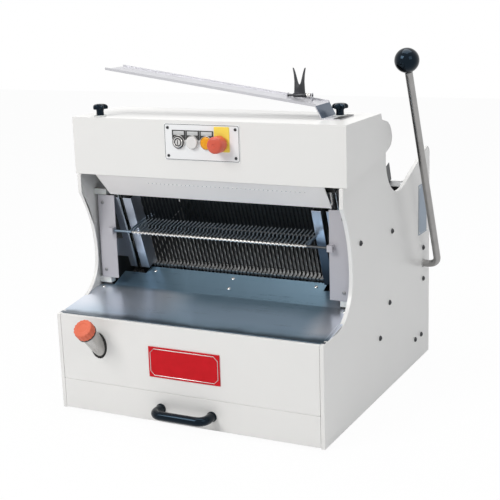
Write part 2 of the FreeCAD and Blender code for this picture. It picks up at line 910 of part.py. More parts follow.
def comb_bar():
    """The slotted bar at the table's nose; the blades run through its slots."""
    tooth_reach = 12
    back = 22
    thick = 8
    slot = 2.6
    half_width = channel_width / 2
    body = new_body("comb_body", feed)
    bar = outline(body, "comb_outline", "xy", [
        (-half_width, -tooth_reach), (half_width, -tooth_reach), (half_width, back),
        (-half_width, back)])
    pad(body, bar, thick)
    first = -(blade_count - 1) / 2 * blade_pitch - slot / 2
    gap = outline(body, "comb_slot", "xy", [
        (first, -2 * tooth_reach), (first + slot, -2 * tooth_reach),
        (first + slot, blade_width / 2 + working_gap), (first, blade_width / 2 + working_gap)])
    first_slot = pocket(body, gap, 2 * thick, reverse=True)
    doc.recompute()
    pattern = body.newObject("PartDesign::LinearPattern", "comb_slots")
    pattern.Originals = [first_slot]
    pattern.Direction = (gap, ["H_Axis"])
    pattern.setExpression("Length", (blade_pitch * (blade_count - 1)).text)
    pattern.Occurrences = blade_count
    body.Tip = pattern
    feed.place(body, 0, 0, -skin - thick)
    part("comb_bar", body)


def cross_members():
    """Square tubes under the table, which lies on them, and square bars inside the hood."""
    rails = []
    for name, run in (("front", front_rail_place), ("rear", rear_rail_place)):
        outside = centred_box("rail_" + name, feed, 0, run, -skin - rail_tube,
                              (2 * inner_half, rail_tube, rail_tube))
        inside = centred_box("rail_bore_" + name, feed, 0, run + skin, -rail_tube,
                             (2 * half, rail_tube - 2 * skin, rail_tube - 2 * skin))
        rails.append(cut("rail_tube_" + name, outside, [inside]))
    part("cross_members", group("cross_members_group", rails + head_ties()))


def pusher_rods():
    """The two rods the pusher's carriage runs on, between the rails."""
    start = front_rail_place + rail_tube
    rods = []
    for side_name, side in SIDES.items():
        rods.append(rod("pusher_rod_" + side_name, feed, "y",
                        (side * rod_place, start, -pin_drop), rod_radius,
                        rear_rail_place - start))
    return rods


infeed_table()
comb_bar()
cross_members()


# ---------------------------------------------------------------- blade frames

def blade_x(index):
    return (index - (blade_count - 1) / 2) * blade_pitch


def blade_frame(name, facing, yoke_place, first_blade):
    """One sliding frame, welded from two hooked bars, two uprights and two yokes.

    facing is -1 for the front frame and 1 for the rear one.
    """
    near = beam_offset if facing == 1 else -beam_offset - beam_width
    width = 2 * (upright_inside + upright_width)
    beam_height = beam_width
    hook_reach = beam_offset + blade_width / 2 - fit_gap
    hook_start = beam_offset - hook_reach if facing == 1 else -beam_offset
    hook_grip = beam_height / 2
    blade_low = beam_height - beam_bottom + hook_height
    blade_high = beam_top - hook_height
    pieces = []
    for end_name, beam_low, hook_low in (
            ("foot", -beam_bottom, blade_low - hook_height - hook_grip),
            ("head", beam_top, blade_high)):
        beam = [centred_box("%s_%s_beam" % (name, end_name), feed, 0, near, beam_low,
                            (width, beam_width, beam_height))]
        for index in range(first_blade, blade_count, 2):
            beam.append(centred_box("%s_hook_%s_%d" % (name, end_name, index), feed,
                                    blade_x(index), hook_start, hook_low,
                                    (hook_width, hook_reach, hook_height + hook_grip)))
        pieces.append(fuse("%s_%s_bar" % (name, end_name), beam))
    for side_name, side in SIDES.items():
        start = upright_inside if side == RIGHT else -upright_inside - upright_width
        pieces.append(box("%s_upright_%s" % (name, side_name), feed,
                          (start, near, beam_height - beam_bottom),
                          (upright_width, beam_width, beam_top + beam_bottom - beam_height)))
        x = side * yoke_place
        neck = centred_box("%s_neck_%s" % (name, side_name), feed, x, near,
                           yoke_top - yoke_wall,
                           (yoke_width, beam_width, yoke_wall - beam_bottom - yoke_top))
        plate = centred_box("%s_yoke_plate_%s" % (name, side_name), feed, x,
                            -window_reach - yoke_wall, yoke_top - 2 * (window_half + yoke_wall),
                            (yoke_width, 2 * (window_reach + yoke_wall),
                             2 * (window_half + yoke_wall)))
        window = centred_box("%s_window_%s" % (name, side_name), feed, x, -window_reach,
                             crank_level - window_half,
                             (2 * yoke_width, 2 * window_reach, 2 * window_half))
        solid = fuse("%s_yoke_solid_%s" % (name, side_name), [neck, plate])
        pieces.append(cut("%s_yoke_%s" % (name, side_name), solid, [window]))
    part("blade_frame_" + name, group(name + "_frame_group", pieces))

    strips = []
    for index in range(first_blade, blade_count, 2):
        strips.append(centred_box("%s_blade_%d" % (name, index), feed, blade_x(index),
                                  -blade_width / 2, blade_low,
                                  (blade_thickness, blade_width, blade_high - blade_low)))
    part("blades_" + name, group(name + "_blades_group", strips))
    slide_blocks(name, facing)


def slide_blocks(name, facing):
    """Bored blocks on the uprights that run on the guide rods."""
    blocks = []
    for side_name, side in SIDES.items():
        inside = upright_inside + upright_width
        start = inside if side == RIGHT else -inside - slide_width
        near = guide_offset - slide_depth / 2 if facing == 1 else -guide_offset - slide_depth / 2
        for end_name, low in (("low", -beam_bottom), ("high", beam_top + beam_width - slide_length)):
            block = box("%s_slide_%s_%s" % (name, side_name, end_name), feed,
                        (start, near, low), (slide_width, slide_depth, slide_length))
            bore = rod("%s_bore_%s_%s" % (name, side_name, end_name), feed, "z",
                       (side * guide_place, facing * guide_offset, low - slide_length),
                       guide_radius + running_gap, 3 * slide_length)
            blocks.append(cut("%s_slide_cut_%s_%s" % (name, side_name, end_name), block, [bore]))
    part("slide_blocks_" + name, group(name + "_slides_group", blocks))


def guides():
    """Four fixed rods in blocks on the side panels."""
    clear = stroke / 2 + 5 * working_gap
    bottom = -beam_bottom - clear
    top = beam_top + beam_width + clear
    block_thickness = 12
    rods = []
    blocks = []
    for side_name, side in SIDES.items():
        start = block_inside if side == RIGHT else -inner_half
        for end_name, low in (("low", bottom - block_thickness), ("high", top)):
            block = box("guide_block_%s_%s" % (side_name, end_name), feed,
                        (start, -guide_offset - slide_depth / 2, low),
                        (inner_half - block_inside, 2 * guide_offset + slide_depth,
                         block_thickness))
            bores = []
            for facing in (-1, 1):
                bores.append(rod("guide_bore_%s_%s_%d" % (side_name, end_name, facing + 1), feed,
                                 "z", (side * guide_place, facing * guide_offset, low - rim),
                                 guide_radius, 3 * block_thickness))
            blocks.append(cut("guide_block_cut_%s_%s" % (side_name, end_name), block, bores))
        for facing in (-1, 1):
            rods.append(rod("guide_rod_%s_%d" % (side_name, facing + 1), feed, "z",
                            (side * guide_place, facing * guide_offset,
                             bottom - block_thickness),
                            guide_radius, top - bottom + 2 * block_thickness))
    part("guide_blocks", group("guide_blocks_group", blocks))
    part("guide_rods", group("guide_rods_group", rods + pusher_rods()))


def guide_covers():
    """Angle covers that carry on the trough's walls, and strips that hide the guide rods."""
    front_face = -beam_offset - beam_width - 2 * skin - working_gap
    height = cover_top - cover_bottom
    covers = []
    for side_name, side in SIDES.items():
        face = centred_box("cover_face_" + side_name, feed, side * (cover_inside + cover_width / 2),
                           front_face, cover_bottom, (cover_width, skin, height))
        wall = centred_box("cover_wall_" + side_name, feed, side * (cover_inside + skin / 2),
                           front_face, cover_bottom, (skin, blade_width - front_face, height))
        covers.append(fuse("guide_cover_" + side_name, [face, wall]))
        strip = centred_box("strip_face_" + side_name, feed, side * (strip_inside + strip_width / 2),
                            front_face, cover_bottom, (strip_width, skin, height))
        tab_inside = strip_inside + strip_width
        tab = centred_box("strip_tab_" + side_name, feed, side * (tab_inside + inner_half) / 2,
                          front_face, cover_bottom + 3 * rim,
                          (inner_half - tab_inside, skin, 2 * rail_tube))
        covers.append(fuse("guide_strip_" + side_name, [strip, tab]))
    part("guide_covers", group("guide_covers_group", covers))


blade_frame("front", -1, front_yoke_place, 0)
blade_frame("rear", 1, rear_yoke_place, 1)
guides()
guide_covers()

# ---------------------------------------------------------------- drive

def crankshaft():
    """A cross shaft with four eccentrics: the front frame's pair faces the rear frame's."""
    end = inner_half - working_gap
    pieces = [rod("crank_shaft", feed, "x", (-end, 0, crank_level), shaft_radius, 2 * end)]
    for name, place, facing in (("front", front_yoke_place, -1), ("rear", rear_yoke_place, 1)):
        for side_name, side in SIDES.items():
            pieces.append(rod("eccentric_%s_%s" % (name, side_name), feed, "x",
                              (side * place - eccentric_width / 2, facing * crank_throw,
                               crank_level), eccentric_radius, eccentric_width))
    part("crankshaft", fuse("crankshaft_fuse", pieces))


def crank_bearings():
    """Bored blocks on the inside of both side panels, at the crankshaft's ends."""
    blocks = []
    for side_name, side in SIDES.items():
        start = inner_half - bearing_width if side == RIGHT else -inner_half
        block = box("crank_block_" + side_name, feed,
                    (start, -bearing_block / 2, crank_level - bearing_block / 2),
                    (bearing_width, bearing_block, bearing_block))
        bore = rod("crank_block_bore_" + side_name, feed, "x", (-half, 0, crank_level),
                   shaft_radius + running_gap, body_width)
        blocks.append(cut("crank_block_cut_" + side_name, block, [bore]))
    return blocks


def pulley(name, space, y, z, groove_radius):
    """The rim and the two flanges of a pulley on the machine's left."""
    start = -pulley_place - pulley_width / 2
    pieces = [rod(name + "_rim", space, "x", (start, y, z), groove_radius, pulley_width)]
    for end_name, x in (("outer", start - flange_width), ("inner", start + pulley_width)):
        pieces.append(rod("%s_flange_%s" % (name, end_name), space, "x", (x, y, z),
                          groove_radius + flange_height, flange_width))
    return pieces


def belt_loop(radii, centres, thickness):
    """The closed wire round two wheels, thickness above their rims."""
    across = centres[1] - centres[0]
    heading = math.atan2(across.z, across.y)
    opening = math.acos((radii[0] - radii[1]) / across.Length)
    spots = []
    for centre, radius, middle, swing in ((centres[0], radii[0], math.pi, math.pi - opening),
                                          (centres[1], radii[1], 0, opening)):
        for turn in (middle - swing, middle, middle + swing):
            angle = heading + turn
            reach = radius + thickness
            spots.append(centre + FreeCAD.Vector(0, reach * math.cos(angle),
                                                 reach * math.sin(angle)))
    edges = [
        Part.Arc(spots[0], spots[1], spots[2]).toShape(),
        Part.LineSegment(spots[2], spots[3]).toShape(),
        Part.Arc(spots[3], spots[4], spots[5]).toShape(),
        Part.LineSegment(spots[5], spots[0]).toShape(),
    ]
    return Part.Wire(edges)


def drive_belt():
    """The belt's own outline has two tangent runs, so its shape is made from the sheet here."""
    width = pulley_width - 2 * belt_side_gap
    crank_y, crank_z = feed.point(0, crank_level)
    motor_y, motor_z = machine.point(motor_run, motor_height)
    centres = [FreeCAD.Vector(0, crank_y.value, crank_z.value),
               FreeCAD.Vector(0, motor_y.value, motor_z.value)]
    radii = [(crank_pulley_radius + belt_gap).value, (motor_pulley_radius + belt_gap).value]
    whole = Part.Face(belt_loop(radii, centres, belt_thickness.value))
    band = whole.cut(Part.Face(belt_loop(radii, centres, 0)))
    belt = doc.addObject("Part::Feature", "belt")
    belt.Shape = band.extrude(FreeCAD.Vector(width.value, 0, 0))
    start = -pulley_place - width / 2
    belt.Placement = FreeCAD.Placement(FreeCAD.Vector(start.value, 0, 0), FreeCAD.Rotation())
    part("drive_belt", belt)


def motor():
    """A foot-mounted motor: its shaft and pulley turn, the rest is bolted to the pan."""
    plate_top = pan_height + 3 * skin
    foot_drop = motor_height - plate_top
    can = rod("motor_can", machine, "x", (-motor_place, motor_run, motor_height), motor_radius,
              motor_length)
    foot = centred_box("motor_foot", machine, -motor_place + motor_length / 2,
                       motor_run - motor_radius, plate_top,
                       (motor_length * 0.6, 2 * motor_radius, 3 * skin))
    web = centred_box("motor_web", machine, -motor_place + motor_length / 2,
                      motor_run - motor_radius / 2, plate_top,
                      (motor_length / 3, motor_radius, foot_drop))
    box_top = centred_box("motor_box", machine, -motor_place + motor_length / 2,
                          motor_run - motor_radius / 2, motor_height,
                          (motor_radius, motor_radius, motor_radius + 2 * rim))
    part("motor", fuse("motor_fuse", [can, foot, web, box_top]))
    shaft_length = pulley_place + pulley_width / 2 + flange_width - motor_place - fit_gap
    shaft = rod("motor_shaft", machine, "x",
                (-motor_place - fit_gap - shaft_length, motor_run, motor_height),
                motor_shaft_radius, shaft_length)
    wheel = pulley("motor_wheel", machine, motor_run, motor_height, motor_pulley_radius)
    part("motor_pulley", fuse("motor_pulley_fuse", wheel + [shaft]))


def crank_pulley():
    wheel = pulley("crank_wheel", feed, 0, crank_level, crank_pulley_radius)
    bore = rod("crank_wheel_bore", feed, "x", (-half, 0, crank_level), shaft_radius, half)
    part("crank_pulley", cut("crank_pulley_cut", fuse("crank_pulley_fuse", wheel), [bore]))


crankshaft()
crank_pulley()
drive_belt()
motor()


# ---------------------------------------------------------------- lever and pusher

def lever():
    """A bent rod on the end of the cross shaft, with a ball on top."""
    end = half + working_gap
    part("lever_shaft", rod("lever_shaft_bar", lever_axis, "x", (working_gap - inner_half, 0, 0),
                            shaft_radius, inner_half + half))
    corner = lever_place - lever_bend
    stub = rod("lever_stub", lever_axis, "x", (end, 0, 0), lever_radius, corner - end)
    bend = doc.addObject("Part::Torus", "lever_elbow")
    bend.setExpression("Radius1", lever_bend.text)
    bend.setExpression("Radius2", lever_radius.text)
    bend.Angle3 = 90
    lever_axis.place(bend, corner, 0, lever_bend, turn=-90)
    stem = rod("lever_stem", lever_axis, "z", (lever_place, 0, lever_bend), lever_radius,
               lever_length - lever_bend)
    part("lever_rod", fuse("lever_rod_fuse", [stub, bend, stem]))
    ball = doc.addObject("Part::Sphere", "lever_ball")
    ball.setExpression("Radius", knob_radius.text)
    lever_axis.place(ball, lever_place, 0, lever_length)
    socket = rod("lever_socket", lever_axis, "z", (lever_place, 0, lever_length - 2 * knob_radius),
                 lever_radius, 2 * knob_radius)
    part("lever_knob", cut("lever_knob_cut", ball, [socket]))


def lever_bearings():
    """Two-bolt flange bearings on the inside of both side panels."""
    wide = 44
    tall = 104
    thick = 14
    blocks = []
    for side_name, side in SIDES.items():
        start = inner_half - thick if side == RIGHT else -inner_half
        block = box("lever_block_" + side_name, machine,
                    (start, lever_run - wide / 2, lever_height - tall / 2), (thick, wide, tall))
        bore = rod("lever_block_bore_" + side_name, machine, "x",
                   (-half, lever_run, lever_height), shaft_radius + running_gap, body_width)
        blocks.append(cut("lever_block_cut_" + side_name, block, [bore]))
    return blocks


def swing_arms():
    """Slotted arms clamped to the lever's shaft; each slot drives one pin of the pusher."""
    arms = []
    for side_name, side in SIDES.items():
        x = side * arm_place
        start = x - arm_thickness / 2
        plate = fuse("arm_plate_" + side_name, [
            rod("arm_hub_" + side_name, arm_axis, "x", (start, 0, 0), arm_hub, arm_thickness),
            centred_box("arm_blade_" + side_name, arm_axis, x, -arm_width / 2, 0,
                        (arm_thickness, arm_width, slot_top)),
            rod("arm_tip_" + side_name, arm_axis, "x", (start, 0, slot_top), arm_width / 2,
                arm_thickness)])
        wide = start - arm_thickness
        slot = [
            rod("arm_bore_" + side_name, arm_axis, "x", (wide, 0, 0), shaft_radius,
                3 * arm_thickness),
            rod("arm_slot_low_" + side_name, arm_axis, "x", (wide, 0, slot_bottom), slot_radius,
                3 * arm_thickness),
            rod("arm_slot_high_" + side_name, arm_axis, "x", (wide, 0, slot_top), slot_radius,
                3 * arm_thickness),
            centred_box("arm_slot_" + side_name, arm_axis, x, -slot_radius, slot_bottom,
                        (3 * arm_thickness, 2 * slot_radius, slot_top - slot_bottom))]
        arms.append(cut("arm_" + side_name, plate, slot))
    part("swing_arms", group("swing_arms_group", arms))


def pusher():
    """A plate across the trough, bridged over its walls to blocks on each rod."""
    plate_thickness = 3
    bridge_gap = 11
    bridge_depth = 18
    bridge_low = channel_wall + 5
    bridge_tall = 12
    carriage_inside = channel_width / 2 + 6
    side_thickness = 4
    runner_low = -pin_drop - 12.5
    bridge_front = face_place + plate_thickness + bridge_gap
    part("pusher_plate", centred_box("pusher_sheet", feed, 0, face_place, push_lift,
                                     (push_width, plate_thickness, push_height)))
    pieces = [
        centred_box("bridge_bar", feed, 0, bridge_front, bridge_low,
                    (2 * carriage_inside, bridge_depth, bridge_tall)),
        centred_box("bridge_pad", feed, 0, face_place + plate_thickness, bridge_low,
                    (push_width / 2, bridge_gap, bridge_tall))]
    bores = []
    for side_name, side in SIDES.items():
        name = "carriage_" + side_name
        centre = side * (carriage_inside + side_thickness / 2)
        cheek = profile_body(name + "_cheek", [
            (pin_place - runner_spacing - runner_length / 2, runner_low),
            (pin_place + runner_length / 2, runner_low),
            (pin_place + runner_length / 2, bridge_tall),
            (pin_place - runner_spacing, bridge_low + bridge_tall),
            (bridge_front, bridge_low + bridge_tall),
            (bridge_front, bridge_low),
            (bridge_front + bridge_depth, bridge_low),
            (pin_place - runner_spacing - runner_length / 2, pin_radius / 2)],
            side_thickness, feed, centre)
        inside = carriage_inside + side_thickness
        block_width_here = 2 * (rod_place - inside)
        start = inside if side == RIGHT else -inside - block_width_here
        pieces.append(cheek)
        for end_name, place in (("rear", pin_place), ("front", pin_place - runner_spacing)):
            pieces.append(box("%s_block_%s" % (name, end_name), feed,
                              (start, place - runner_length / 2, runner_low),
                              (block_width_here, runner_length, 2 * (-pin_drop - runner_low) + 1)))
            bores.append(rod("%s_bore_%s" % (name, end_name), feed, "y",
                             (side * rod_place, place - runner_length, -pin_drop),
                             rod_radius + running_gap, 2 * runner_length))
        pin_inside = inside + block_width_here
        pin_start = pin_inside if side == RIGHT else -pin_inside - pin_length
        pieces.append(rod("pusher_pin_" + side_name, feed, "x",
                          (pin_start, pin_place, -pin_drop), pin_radius, pin_length))
    part("pusher_carriage", cut("carriage_cut", fuse("carriage_fuse", pieces), bores))


lever()
swing_arms()
pusher()
part("shaft_bearings", group("shaft_bearings_group", crank_bearings() + lever_bearings()))

# ---------------------------------------------------------------- delivery side

def delivery_tray():
    """A sheet in two slopes from the blades to the front panel.

    It steps in behind the posts and again beside the blade covers.
    """
    body = profile_body("tray_sheet", [
        (tray_front, front_height), (tray_flat, front_height),
        (tray_knee, tray_knee_height - skin), (tray_rear - skin, tray_rear_height - skin), (tray_rear - skin, tray_rear_height - 2 * rim),
        (tray_rear, tray_rear_height - 2 * rim), (tray_rear, tray_rear_height),
        (tray_knee, tray_knee_height), (tray_flat, front_height + skin),
        (tray_front, front_height + skin)], between_rims)
    notches = []
    steps = (("notch", tray_notch, tray_tongue / 2),
             ("shoulder", tray_shoulder, half - tray_shoulder_inset))
    for side_name, side in SIDES.items():
        for step_name, run, inside in steps:
            start = inside if side == RIGHT else -half
            notches.append(box("tray_%s_%s" % (step_name, side_name), machine,
                               (start, run, front_height), (half - inside, half, half)))
    part("delivery_tray", cut("tray_cut", body, notches))


def guard_posts():
    """Angle posts beside the loaf's way, held between blocks on the side panels.

    Each post carries the clip in which the hold-down's bar turns.
    """
    blocks = []
    posts = []
    clip = 14
    for side_name, side in SIDES.items():
        centre = side * (post_inside + post_width / 2)
        height = post_top - post_bottom
        face = centred_box("post_face_" + side_name, machine, centre, post_front, post_bottom,
                           (post_width, skin, height))
        edge = centred_box("post_edge_" + side_name, machine,
                           side * (post_inside + post_width - skin / 2), post_front + skin,
                           post_bottom, (skin, post_depth - skin, height))
        block = centred_box("clip_block_" + side_name, machine,
                            side * (post_inside + clip_width / 2), post_front - clip,
                            hold_height - clip / 2, (clip_width, clip, clip))
        bore = rod("clip_bore_" + side_name, machine, "x", (-half, hold_run, hold_height),
                   hold_radius + running_gap, body_width)
        solid = fuse("post_fuse_" + side_name, [face, edge, block])
        posts.append(cut("post_cut_" + side_name, solid, [bore]))
        block_place = side * (inner_half - block_width)
        for end_name, low in (("low", post_bottom - block_height), ("high", post_top)):
            blocks.append(centred_box("post_block_%s_%s" % (side_name, end_name), machine,
                                      block_place, post_front + skin, low,
                                      (2 * block_width, post_depth - 2 * skin, block_height)))
    part("guard_posts", group("guard_posts_group", posts))
    part("post_blocks", group("post_blocks_group", blocks))


def hold_down():
    """A comb of fingers that keeps the loaf down; it hangs from the posts' clips."""
    bar_half = post_inside + clip_width - working_gap
    pieces = [rod("hold_bar", hold_axis, "x", (-bar_half, 0, 0), hold_radius, 2 * bar_half)]
    for index in range(blade_count - 1):
        x = blade_x(index) + blade_pitch / 2
        pieces.append(rod("finger_%d" % index, hold_axis, "y", (x, 0, 0), finger_radius,
                          finger_length))
    for side_name, side in SIDES.items():
        pieces.append(rod("hold_arm_" + side_name, hold_axis, "y",
                          (side * (cover_inside - hold_arm_inset), 0, 0), hold_radius,
                          hold_arm_length))
    part("hold_down_grid", fuse("hold_down_fuse", pieces))


def tray_screw_places():
    """The tray's screws: the slope each sits in, its X and how far up the slope it is."""
    wing = channel_width / 2 - 2 * rim
    low = post_inside + 4 * rim
    step = 25
    rear = [(-wing, tray_notch + rim), (0, tray_notch + rim), (working_gap * 3, tray_notch - step),
            (wing, tray_notch + rim)]
    places = [(tray_rise_axis, x, (run - tray_knee) / cosine(tray_rise_angle)) for x, run in rear]
    up = (post_front - rim - tray_flat) / cosine(tray_angle)
    return places + [(tray_axis, -low, up), (tray_axis, low, up)]


def small_screws():
    """Round-headed screws of the tray, the posts and the control plate."""
    screws = []
    for index, (slope, x, up) in enumerate(tray_screw_places()):
        screws.append(rod("tray_screw_%d" % index, slope, "z", (x, up, 0), screw_radius,
                          screw_height))
    for side_name, side in SIDES.items():
        x = side * (post_inside + post_width - 3 * screw_radius)
        for index, z in enumerate((post_bottom + 2 * rim, post_top - 2 * rim)):
            screws.append(rod("post_screw_%s_%d" % (side_name, index), machine, "y",
                              (x, post_front - screw_height, z), screw_radius, screw_height))
        for index, end in enumerate((LEFT, RIGHT)):
            screws.append(rod("plate_screw_%s_%d" % (side_name, index), machine, "y",
                              (side * (panel_width / 2 - rim), plate_face - screw_height,
                               control_height + end * (panel_height / 2 - rim)),
                              screw_radius * 0.8, screw_height))
    return screws


hold_axis = Space(front + hold_run, floor_gap + hold_height, hold_angle)
delivery_tray()
guard_posts()
hold_down()


# ---------------------------------------------------------------- control panel

def control_plate():
    """The plate under the controls, with a clear hole for each."""
    plate = centred_box("control_sheet", machine, 0, plate_face, control_height - panel_height / 2,
                        (panel_width, panel_thickness, panel_height))
    holes = []
    for index in range(4):
        holes.append(rod("control_hole_%d" % index, machine, "y",
                         (device_x(index), plate_face - rim, control_height),
                         device_hole + fit_gap, 2 * rim))
    part("control_plate", cut("control_plate_cut", plate, holes))


def ring(name, x, start, outer, inner, length):
    """A ring round a control's axis, from start towards the rear."""
    solid = rod(name + "_solid", machine, "y", (x, start, control_height), outer, length)
    bore = rod(name + "_bore", machine, "y", (x, start - rim, control_height), inner,
               length + 2 * rim)
    return cut(name, solid, [bore])


def plunger(name, x, cap_radius_here, reach, clear):
    """A cap in front of the plate on a stem that runs through the hood."""
    stem_end = head_front + cheek_skin + rim
    cap = rod(name + "_cap", machine, "y", (x, plate_face - reach, control_height),
              cap_radius_here, reach - clear)
    stem = rod(name + "_stem", machine, "y", (x, plate_face - clear, control_height),
               device_hole - fit_gap, stem_end + clear - plate_face)
    return fuse(name + "_fuse", [cap, stem])


def controls():
    """Key switch, start button, lamp and mushroom stop button, left to right."""
    key_x, start_x, lamp_x, stop_x = [device_x(index) for index in range(4)]
    bezels = []
    for index, x in enumerate((key_x, start_x, lamp_x)):
        bezels.append(ring("bezel_%d" % index, x, plate_face - bezel_height, bezel_radius,
                           button_radius + fit_gap, bezel_height))
    part("control_bezels", group("control_bezels_group", bezels))
    barrel = plunger("key", key_x, button_radius, button_height, fit_gap)
    key_slot = centred_box("key_slot", machine, key_x, plate_face - 2 * rim,
                           control_height - button_radius / 2,
                           (skin, 2 * rim - button_height + skin, button_radius))
    part("key_switch", cut("key_switch_cut", barrel, [key_slot]))
    part("start_button", plunger("start", start_x, button_radius, button_height,
                                 button_travel + fit_gap))
    part("signal_lamp", plunger("lamp", lamp_x, button_radius, button_height, fit_gap))
    part("stop_button", plunger("stop", stop_x, stop_radius, stop_height,
                                stop_travel + 2 * fit_gap))
    legends = []
    for index, x in enumerate((key_x, start_x, lamp_x)):
        legends.append(centred_box("legend_%d" % index, machine, x, plate_face - skin / 2,
                                   control_height + bezel_radius + fit_gap,
                                   (device_pitch - 3 * skin, skin / 2, rim)))
    label = centred_box("stop_label", machine, stop_x, plate_face - skin / 2,
                        control_height - stop_radius,
                        (device_pitch, skin / 2, stop_radius + panel_height / 2 - skin))
    label_hole = rod("stop_label_hole", machine, "y", (stop_x, plate_face - rim, control_height),
                     device_hole + fit_gap, 2 * rim)
    legends.append(cut("stop_label_cut", label, [label_hole]))
    part("legend_plates", group("legend_plates_group", legends))
    blocks = []
    block_front = head_front + cheek_skin + rim + stop_travel + fit_gap
    for index in range(4):
        blocks.append(centred_box("contact_%d" % index, machine, device_x(index), block_front,
                                  control_height - contact_block / 2,
                                  (contact_block, 1.5 * contact_block, contact_block)))
    bracket = centred_box("contact_bracket", machine, device_x(1.5),
                          block_front + 1.5 * contact_block,
                          control_height - contact_block, (5 * device_pitch, skin, 2 * contact_block))
    part("contact_blocks", group("contact_blocks_group", blocks + [bracket]))


control_plate()
controls()


# ---------------------------------------------------------------- top of the head

def star_knob(name, x, run, base):
    """A five-lobed clamping knob with its stud."""
    lobes = 5
    height = base + knob_stem_height
    pieces = [
        rod("stud_" + name, machine, "z", (x, run, head_top - 2 * rim), stud_radius,
            base - head_top + 2 * rim),
        rod("knob_stem_" + name, machine, "z", (x, run, base), knob_stem, knob_stem_height),
        rod("knob_head_" + name, machine, "z", (x, run, height), knob_head, knob_head_height),
    ]
    for index in range(lobes):
        angle = Dim("(%d)" % (index * 360 / lobes), index * 360 / lobes)
        pieces.append(rod("lobe_%s_%d" % (name, index), machine, "z",
                          (x + lobe_place * cosine(angle), run + lobe_place * sine(angle), height),
                          lobe_radius, knob_head_height))
    part("star_knob_" + name, fuse("star_knob_fuse_" + name, pieces))


def knob_washer(name, x, run, base):
    solid = rod("washer_solid_" + name, machine, "z", (x, run, base), washer_radius,
                washer_height)
    bore = rod("washer_bore_" + name, machine, "z", (x, run, base - rim),
               stud_radius + fit_gap, 3 * rim)
    return cut("washer_" + name, solid, [bore])


def knobs():
    washers = []
    for name, (x, run) in KNOBS.items():
        base = head_top + (rack_thickness if name == "right" else 0)
        washers.append(knob_washer(name, x, run, base))
        star_knob(name, x, run, base + washer_height)
    part("knob_washers", group("knob_washers_group", washers))


def bag_rack():
    """A bent strip clamped under the right knob; its long arm rises to the left."""
    crest = head_top + rack_crest_height
    tip = rack_crest - rack_length
    tip_height = crest + rack_length * tangent(rack_angle)
    body = new_body("rack_strip", machine, 0, rack_front)
    strip = outline(body, "rack_outline", "xz", [
        (rack_foot, head_top), (rack_foot, head_top + rack_thickness),
        (rack_riser, head_top + rack_thickness), (rack_crest, crest + rack_thickness),
        (tip, tip_height + rack_thickness), (tip, tip_height), (rack_crest - skin, crest),
        (rack_riser - skin, head_top)])
    pad(body, strip, rack_width, reverse=True)
    x, run = KNOBS["right"]
    hole = rod("rack_stud_hole", machine, "z", (x, run, head_top - rim), stud_radius + fit_gap,
               3 * rim)
    part("bag_rack", cut("bag_rack_cut", body, [hole]))


def rack_level(x):
    """The height of the rack's upper face at a place along it."""
    return head_top + rack_crest_height + rack_thickness + (rack_crest - x) * tangent(rack_angle)


def bag_fork():
    """A two-pronged catch for the bag's mouth, sprung upright on a pin across the rack."""
    pin = 2.5
    barrel = 5
    level = rack_level(fork_place - fork_width / 2) + barrel
    body = new_body("fork_sheet", machine, fork_place, fork_run, level)
    outline_here = outline(body, "fork_outline", "xz", [
        (-fork_width / 2, 0), (fork_width / 2, 0), (fork_width / 2 - skin, fork_height),
        (fork_width / 2 - 3 * skin, fork_height * 0.8), (0, fork_height * 0.4),
        (3 * skin - fork_width / 2, fork_height * 0.8), (skin - fork_width / 2, fork_height)])
    pad(body, outline_here, skin, reverse=True)
    barrel_rod = rod("fork_barrel", machine, "x", (fork_place - fork_width / 2, fork_run, level),
                     barrel - fit_gap, fork_width)
    bore = rod("fork_bore", machine, "x", (fork_place - fork_width, fork_run, level),
               pin + running_gap, 2 * fork_width)
    part("bag_fork", cut("bag_fork_cut", fuse("bag_fork_fuse", [body, barrel_rod]), [bore]))
    pin_end = fork_place + fork_width
    pin_bar = rod("fork_pin_bar", machine, "x", (fork_place - fork_width, fork_run, level), pin,
                  2 * fork_width)
    ears = []
    for name, x in (("left", fork_place - fork_width + skin), ("right", pin_end - skin)):
        foot = rack_level(x)
        ears.append(centred_box("fork_ear_" + name, machine, x, fork_run - barrel, foot,
                                (skin, 2 * barrel, level + barrel - foot)))
    coil = rod("fork_coil", machine, "x", (fork_place + fork_width / 2 + fit_gap, fork_run, level),
               barrel - fit_gap, fork_width / 2 - 3 * skin)
    coil_bore = rod("fork_coil_bore", machine, "x", (fork_place, fork_run, level),
                    pin + fit_gap / 2, 2 * fork_width)
    spring = cut("fork_spring_cut", coil, [coil_bore])
    hinge = fuse("fork_hinge_fuse", [pin_bar] + ears)
    part("fork_hinge", group("fork_hinge_group", [hinge, spring]))


knobs()
bag_rack()
bag_fork()


# ---------------------------------------------------------------- front of the body

